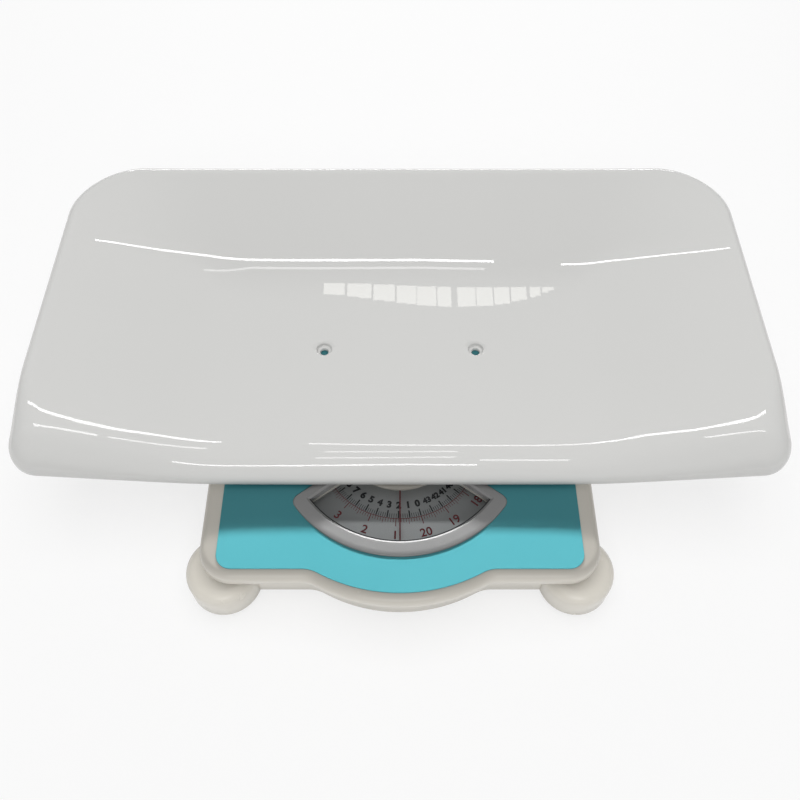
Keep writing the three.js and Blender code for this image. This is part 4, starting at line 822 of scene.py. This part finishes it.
def make_housing():
    outer = [(1.2, HOUSING_FLOOR), (0.35, HOUSING_FLOOR + 0.35), (0, HOUSING_FLOOR + 1.2),
             (0, HOUSING_TOP - 0.5), (0.5, HOUSING_TOP)]
    tray = stacked([[(x, y, z) for x, y in base_outline(HOUSING_SETBACK + d)] for d, z in outer])
    hollow = slab(base_outline(HOUSING_SETBACK + HOUSING_WALL), HOUSING_FLOOR + HOUSING_WALL,
                  HOUSING_TOP + 1)
    spots = [(x, y) for x in (-EAR_X, EAR_X) for y in (-EAR_Y, EAR_Y)]
    steps = [("UNION", turned(ear_profile(), x, y, 96)) for x, y in spots]
    steps.append(("DIFFERENCE", hollow))
    for x, y in spots:
        steps.append(("DIFFERENCE", turned(ear_room(), x, y, 64)))
        steps.append(("DIFFERENCE", disc(FOOT_HOLE_RADIUS, HOUSING_FLOOR - 1,
                                         HOUSING_FLOOR + FOOT_HOLE_DEEP, x, y, 32)))
    steps.append(("DIFFERENCE", box(-WHEEL_SLOT_HALF, WHEEL_SLOT_HALF, -HALF_DEEP - BULGE_FILLET,
                                    WHEEL_SLOT_BACK, WHEEL_SLOT_FLOOR, HOUSING_TOP + 1)))
    for x in (-RUNNER_X, RUNNER_X):
        steps.append(("UNION", box(x - RUNNER_HALF, x + RUNNER_HALF, -RUNNER_LONG, RUNNER_LONG,
                                   HOUSING_FLOOR + 1, HOUSING_FLOOR + HOUSING_WALL + RUNNER_HIGH)))
    dressed("housing_tray", shaped(tray, steps), "base_housing", "cream_plastic", 35)


# pairs of radius and height: a ring to stand on, and the peg that holds the foot
FOOT_PROFILE = [(0, 0.5), (6, 0.5), (7, 0.1), (7.6, 0), (10.6, 0), (11.4, 0.4), (12, 1.4),
                (12, 3.2), (11.6, 3.9), (11.0, 4), (4, 4), (4, 8.0), (3.6, 8.4), (0, 8.4)]


def make_feet():
    for node in sorted(n for n in frame["nodes"] if n.startswith("foot_")):
        low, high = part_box(node)
        x = (low.x + high.x) / 2 / MM
        y = (low.y + high.y) / 2 / MM - BASE_SHIFT_Y
        dressed(node + "_pad", turned(FOOT_PROFILE, x, y, 56), node, "foot_rubber", 35)


# ---- dial
def dial_text(body, size, heavy, radius, angle, level):
    """Number on the dial, its top towards the centre. Angle 0 is the front, growing to the left."""
    curve = bpy.data.curves.new("number", "FONT")
    curve.body = body
    curve.size = size
    curve.align_x = "CENTER"
    curve.align_y = "CENTER"
    curve.extrude = PRINT_HALF
    curve.offset = size * heavy
    curve.resolution_u = 6
    piece = added("scratch", curve)
    bpy.context.view_layer.update()
    mesh = as_shown(piece)
    bpy.data.objects.remove(piece)
    bpy.data.curves.remove(curve)
    points = []
    for vertex in mesh.vertices:
        wide, y, z = vertex.co
        tall = radius - y
        points.append((wide * math.cos(angle) - tall * math.sin(angle),
                       DIAL_Y - tall * math.cos(angle) - wide * math.sin(angle), level + z))
    faces = [tuple(polygon.vertices) for polygon in mesh.polygons]
    bpy.data.meshes.remove(mesh)
    return points, faces


def dial_mark(r0, r1, wide, angle, level):
    """Thin radial mark."""
    points = []
    for z in (level - PRINT_HALF, level + PRINT_HALF):
        for r, w in ((r0, -wide), (r1, -wide), (r1, wide), (r0, wide)):
            x = -r * math.sin(angle) + w / 2 * math.cos(angle)
            y = DIAL_Y - r * math.cos(angle) - w / 2 * math.sin(angle)
            points.append((x, y, z))
    faces = [(3, 2, 1, 0), (4, 5, 6, 7), (0, 1, 5, 4), (1, 2, 6, 5), (2, 3, 7, 6), (3, 0, 4, 7)]
    return points, faces


def hoop(section, sides=240):
    """Points and faces of a closed section of (radius, height) pairs about the dial's axis."""
    points, faces = [], []
    for k, (radius, z) in enumerate(section):
        row, after = k * sides, (k + 1) % len(section) * sides
        for i in range(sides):
            j = (i + 1) % sides
            a = 2 * math.pi * i / sides
            points.append((radius * math.cos(a), DIAL_Y + radius * math.sin(a), z))
            faces.append((row + i, row + j, after + j, after + i))
    return points, faces


def make_print(name, parts, finish):
    """One mesh of all the parts, turning with the dial."""
    points, faces = [], []
    for part_points, part_faces in parts:
        start = len(points)
        points += part_points
        faces += [tuple(start + i for i in face) for face in part_faces]
    mesh = bpy.data.meshes.new(name)
    mesh.from_pydata([tuple(p) for p in place(points)], [], faces)
    mesh.materials.append(FINISHES[finish])
    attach(added(name, mesh), "dial")


def make_dial():
    z0, z1, r, edge, bore = DIAL_UNDER, DIAL_TOP, DIAL_RADIUS, 0.25, 4
    disc_form = hoop([(bore, z0), (r - edge, z0), (r, z0 + edge), (r, z1 - edge), (r - edge, z1),
                      (bore, z1)])
    dressed("dial_face", mesh_of(*disc_form), "dial_disc", "dial_paint", 30)

    level = z1 + PRINT_LIFT
    inside, outside = (KILO_RING + side * KILO_RING_WIDE / 2 for side in (-1, 1))
    low, high = level - PRINT_HALF, level + PRINT_HALF
    red, black = [hoop([(inside, low), (outside, low), (outside, high), (inside, high)])], []
    zero = math.radians(DIAL_ZERO)
    for tenth in range(10 * KILOS):
        angle = zero + math.radians(DEGREES_PER_TENTH * tenth)
        whole, half = tenth % 10 == 0, tenth % 5 == 0
        length = 6.0 if whole else 4.4 if half else 3.0
        wide = 0.60 if whole else 0.34
        red.append(dial_mark(KILO_RING, KILO_RING + length, wide, angle, level))
    for kilo in range(KILOS):
        angle = zero + math.radians(10 * DEGREES_PER_TENTH * kilo)
        body = str(kilo or KILOS)
        red.append(dial_text(body, KILO_TEXT, KILO_HEAVY, KILO_TEXT_RADIUS, angle, level))
    pound = math.radians(DEGREES_PER_POUND)
    for fifth in range(5 * POUNDS):
        length, wide = (3.4, 0.40) if fifth % 5 else (5.6, 0.95)
        angle = zero + pound * fifth / 5
        black.append(dial_mark(POUND_RING - length, POUND_RING, wide, angle, level))
    for count in range(POUNDS):
        size = POUND_TEXT if count < 10 else POUND_TEXT_SMALL
        angle = zero + pound * count
        black.append(dial_text(str(count), size, POUND_HEAVY, POUND_TEXT_RADIUS, angle, level))
    make_print("kilogram_scale", red, "red_paint")
    make_print("pound_scale", black, "black_paint")


# ---- pieces whose solids are already right
def dress_inner_pieces():
    for row in frame["record"]["subparts"]:
        node = frame["nodes"][row["node"]]
        node.data.materials.clear()
        node.data.materials.append(FINISHES[row["material_slot"]])


# the height of each spring's upper end, and how far its lower end follows the nose plate
COILS = [("main_spring", "main_coil", 30.0, 1.0), ("crank_spring", "crank_coil", 32.7, 1.45)]


def make_coils():
    """The springs, as copies of their meshes shown in place of their nodes."""
    for node, name, top, reach in COILS:
        coil = added(name, frame["nodes"][node].data.copy())
        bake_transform(coil)
        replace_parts(coil, node)


# ---- floor, light and camera
# half the floor's side in metres, and how far it is drawn as plain white where it is seen
FLOOR_HALF, FLOOR_GLOW = 30.0, 0.72
WORLD_STRENGTH = 0.30


def make_floor():
    f = Finish("pale_floor")
    grain = f.noise(40.0, 2.0)
    seen = f.rays("Is Camera Ray") + f.rays("Is Glossy Ray") + f.rays("Is Transmission Ray")
    colour = f.blend(grain, (0.93, 0.93, 0.93), (0.95, 0.95, 0.95))
    plain = f.surface(Base_Color=colour, Roughness=0.6)
    white = f.node("ShaderNodeEmission", values={"Color": (1, 1, 1), "Strength": 1.0})
    f.done(f.node("ShaderNodeMixShader", values={0: seen * FLOOR_GLOW, 1: plain, 2: white}))
    mesh = bpy.data.meshes.new("floor")
    mesh.from_pydata([(x * FLOOR_HALF, y * FLOOR_HALF, 0)
                      for x, y in ((-1, -1), (1, -1), (1, 1), (-1, 1))], [], [(0, 1, 2, 3)])
    mesh.materials.append(f.material)
    added("floor", mesh)


def make_world():
    """Soft white light from all round, plain white where the camera sees it."""
    world = bpy.data.worlds.new("studio")
    bpy.context.scene.world = world
    world.use_nodes = True
    tree = world.node_tree
    tree.nodes.clear()
    rays, soft, plain, mix, out = (tree.nodes.new(kind) for kind in (
        "ShaderNodeLightPath", "ShaderNodeBackground", "ShaderNodeBackground",
        "ShaderNodeMixShader", "ShaderNodeOutputWorld"))
    for glow, level, place_in_mix in ((soft, WORLD_STRENGTH, 1), (plain, 1.0, 2)):
        glow.inputs["Color"].default_value = (1, 1, 1, 1)
        glow.inputs["Strength"].default_value = level
        tree.links.new(glow.outputs[0], mix.inputs[place_in_mix])
    tree.links.new(rays.outputs["Is Camera Ray"], mix.inputs[0])
    tree.links.new(mix.outputs[0], out.inputs[0])


def lamp(name, middle, wide, deep, radiance, aim=None):
    """Flat lamp, in millimetres about the middle of the base; it faces down, or to a point."""
    data = bpy.data.lights.new(name, "AREA")
    data.shape = "RECTANGLE"
    data.size, data.size_y = wide * MM, deep * MM
    data.energy = radiance * math.pi * wide * deep * MM * MM
    light = added(name, data)
    light.location = place([middle])[0]
    if aim:
        way = Vector(aim) - Vector(middle)
        light.rotation_euler = way.to_track_quat("-Z", "Y").to_euler()
    return light


def light_only(light, group_name, *names):
    """Keeps a lamp's light to these pieces."""
    group = bpy.data.collections.get(group_name) or bpy.data.collections.new(group_name)
    for name in names:
        if name not in group.objects:
            group.objects.link(bpy.data.objects[name])
    light.light_linking.receiver_collection = group


def glint(name, radiance, wide, points, colour=(1, 1, 1)):
    """Narrow lamps end to end close over the pan, that show in its gloss alone."""
    for start, end in zip(points, points[1:]):
        start, end = Vector(start), Vector(end)
        along = end - start
        light = lamp(name, (start + end) / 2, along.length, wide, radiance)
        along.normalize()
        back = (Vector((0, 0, 1)) - along * along.z).normalized()
        turn = Matrix((along, back.cross(along), back)).transposed()
        light.rotation_euler = turn.to_euler()
        light.data.color = colour
        light.visible_camera = False
        light.visible_diffuse = False
        light_only(light, "lit_by_glints", "pan_shell")


# the skylight's panes: left end, right end, far edge, and how deep each end is
PANES = [
    (-66.7, -48.3, 138.3, 10.1, 11.0), (-46.0, -24.9, 138.1, 11.7, 14.5),
    (-23.1, -4.4, 137.2, 14.2, 16.5), (-2.8, 14.1, 136.3, 16.1, 18.0),
    (14.8, 31.5, 135.5, 17.8, 18.8), (32.6, 44.6, 135.0, 18.6, 19.1),
    (50.0, 65.8, 134.6, 18.5, 18.3), (66.6, 80.6, 134.5, 18.1, 17.4),
    (81.9, 95.1, 134.4, 16.9, 15.3), (96.6, 109.7, 134.4, 14.1, 11.4),
    (112.7, 121.3, 134.1, 10.3, 7.6), (122.7, 131.7, 133.8, 6.4, 2.6)]
PANE_HIGH, PANE_RADIANCE, PANE_COLOUR = 98.0, 3.4, (1.0, 0.99, 0.93)
# radiance, width and points of the lines of light that lie in the pan's creases and lip
GLINTS = [
    (11, 1.3, [(-249, 144.8, 101.2), (-202, 143.3, 89.8), (-163, 142.9, 81.0),
               (-134, 141.7, 76.8), (17, 141.8, 75.8), (80, 140.8, 75.6)]),
    (11, 1.2, [(136, 138.4, 76.0), (174, 137.6, 82.3), (213, 135.9, 91.7), (266, 132.6, 105.1)]),
    (3, 1.6, [(-162, 131.0, 79.0), (-137, 133.9, 75.3), (-126, 136.0, 75.0), (17, 136.5, 74.3),
              (72, 135.4, 74.3)]),
    (9, 2.4, [(-279, -8.1, 126.9), (-256, -8.8, 123.6), (-226, -11.9, 116.3),
              (-199, -12.3, 110.1), (-173, -10.5, 104.0), (-152, -10.1, 99.2),
              (-136, -9.5, 97.1)]),
    (6, 2.2, [(-71, -10.1, 96.3), (-4, -12.4, 96.3), (93, -13.9, 96.6), (145, -13.1, 98.0)]),
    (10, 2.4, [(145, -13.1, 98.0), (173, -11.1, 104.0), (208, -15.4, 112.2),
               (243, -15.1, 120.5), (265, -13.0, 126.0)]),
    (6, 4.0, [(-267, -23.8, 126.4), (-241, -25.2, 120.3), (-212, -27.9, 113.3)]),
    (5, 2.6, [(-205, -28.2, 111.7), (-172, -27.4, 104.2), (-143, -23.6, 98.2)]),
    (4, 2.2, [(-57, -25.9, 96.9), (44, -25.3, 96.8)]),
    (6, 2.6, [(213, -32.9, 113.6), (262, -36.5, 125.0)]),
    (4, 2.2, [(-64, -37.4, 96.9), (43, -35.4, 96.9)]),
    (8, 2.6, [(-161, -53.9, 100.7), (4, -49.4, 96.4), (58, -50.6, 96.4)]),
    (5, 2.4, [(60, -41.0, 96.8), (127, -42.3, 97.4)]),
]
# the studio's soft lamps: middle, width, depth, radiance, the point they face, whether gloss
# shows them, and the pieces they light (all pieces where no group is named)
LAMPS = {
    "low_window": ((0, 2700, 900), 2600, 220, 12.0, (0, -60, 60), True, None, ()),
    "front_fill": ((0, -2300, 2300), 2400, 1500, 2.0, (0, 0, 40), False, "lit_by_the_fill",
                   ("pan_shell", "floor", "platform_lid", "housing_tray")),
    "overhead": ((0, 100, 2000), 2000, 2000, 1.87, None, False, "lit_from_overhead",
                 ("pan_shell", "floor", "housing_tray")),
    "back_window": ((0, 2700, 790), 1600, 120, 430.0, (0, -60, 60), False, "lit_past_the_pan",
                    ("printed_sheet", "window_frame", "hub_cover", "dial_face")),
    "back_window_soft": ((0, 2700, 790), 1600, 120, 120.0, (0, -60, 60), False,
                         "lit_softly_past_the_pan", ("platform_lid",)),
    "dial_window": ((0, 2020, 1720), 1600, 160, 50.0, (0, -95, 43), False, "lit_in_the_window",
                    ("dial_face",)),
    "front_low": ((0, -2700, 1250), 1800, 900, 3.0, (0, -60, 40), True, "lit_from_the_front",
                  ("platform_lid", "housing_tray", "window_frame", "dial_face")),
}


def hang_lamps():
    for left, right, far_edge, deep_left, deep_right in PANES:
        for part in (0, 1):
            x0, x1 = (left + (right - left) * (part + k) / 2 for k in (0, 1))
            deep = deep_left + (deep_right - deep_left) * (0.25 + part / 2)
            y = far_edge - deep / 2
            glint("skylight", PANE_RADIANCE, deep, [(x0, y, PANE_HIGH), (x1, y, PANE_HIGH)],
                  PANE_COLOUR)
    for radiance, wide, points in GLINTS:
        glint("glint", radiance, wide, points)
    for name, (middle, wide, deep, radiance, aim, in_gloss, group, pieces) in LAMPS.items():
        light = lamp(name, middle, wide, deep, radiance, aim)
        light.visible_glossy = in_gloss
        if group:
            light_only(light, group, *pieces)


def make_camera():
    """Stands in metres in the frame, where the photograph was taken from."""
    bpy.context.scene.view_settings.view_transform = "Standard"
    data = bpy.data.cameras.new("camera")
    data.lens = 37.35
    data.sensor_width = 36.0
    data.clip_start, data.clip_end = 0.01, 100
    camera = added("camera", data)
    camera.location = (0.0, -0.3754, 0.590)
    camera.rotation_euler = (math.radians(33.0), 0, 0)
    bpy.context.scene.camera = camera


dress_inner_pieces()
make_coils()
make_housing()
make_feet()
make_platform()
make_sheet()
make_bezel()
make_lens()
make_seal()
make_hub_cover()
make_dial()
make_pan()
make_floor()
make_world()
hang_lamps()
make_camera()

bpy.context.view_layer.update()
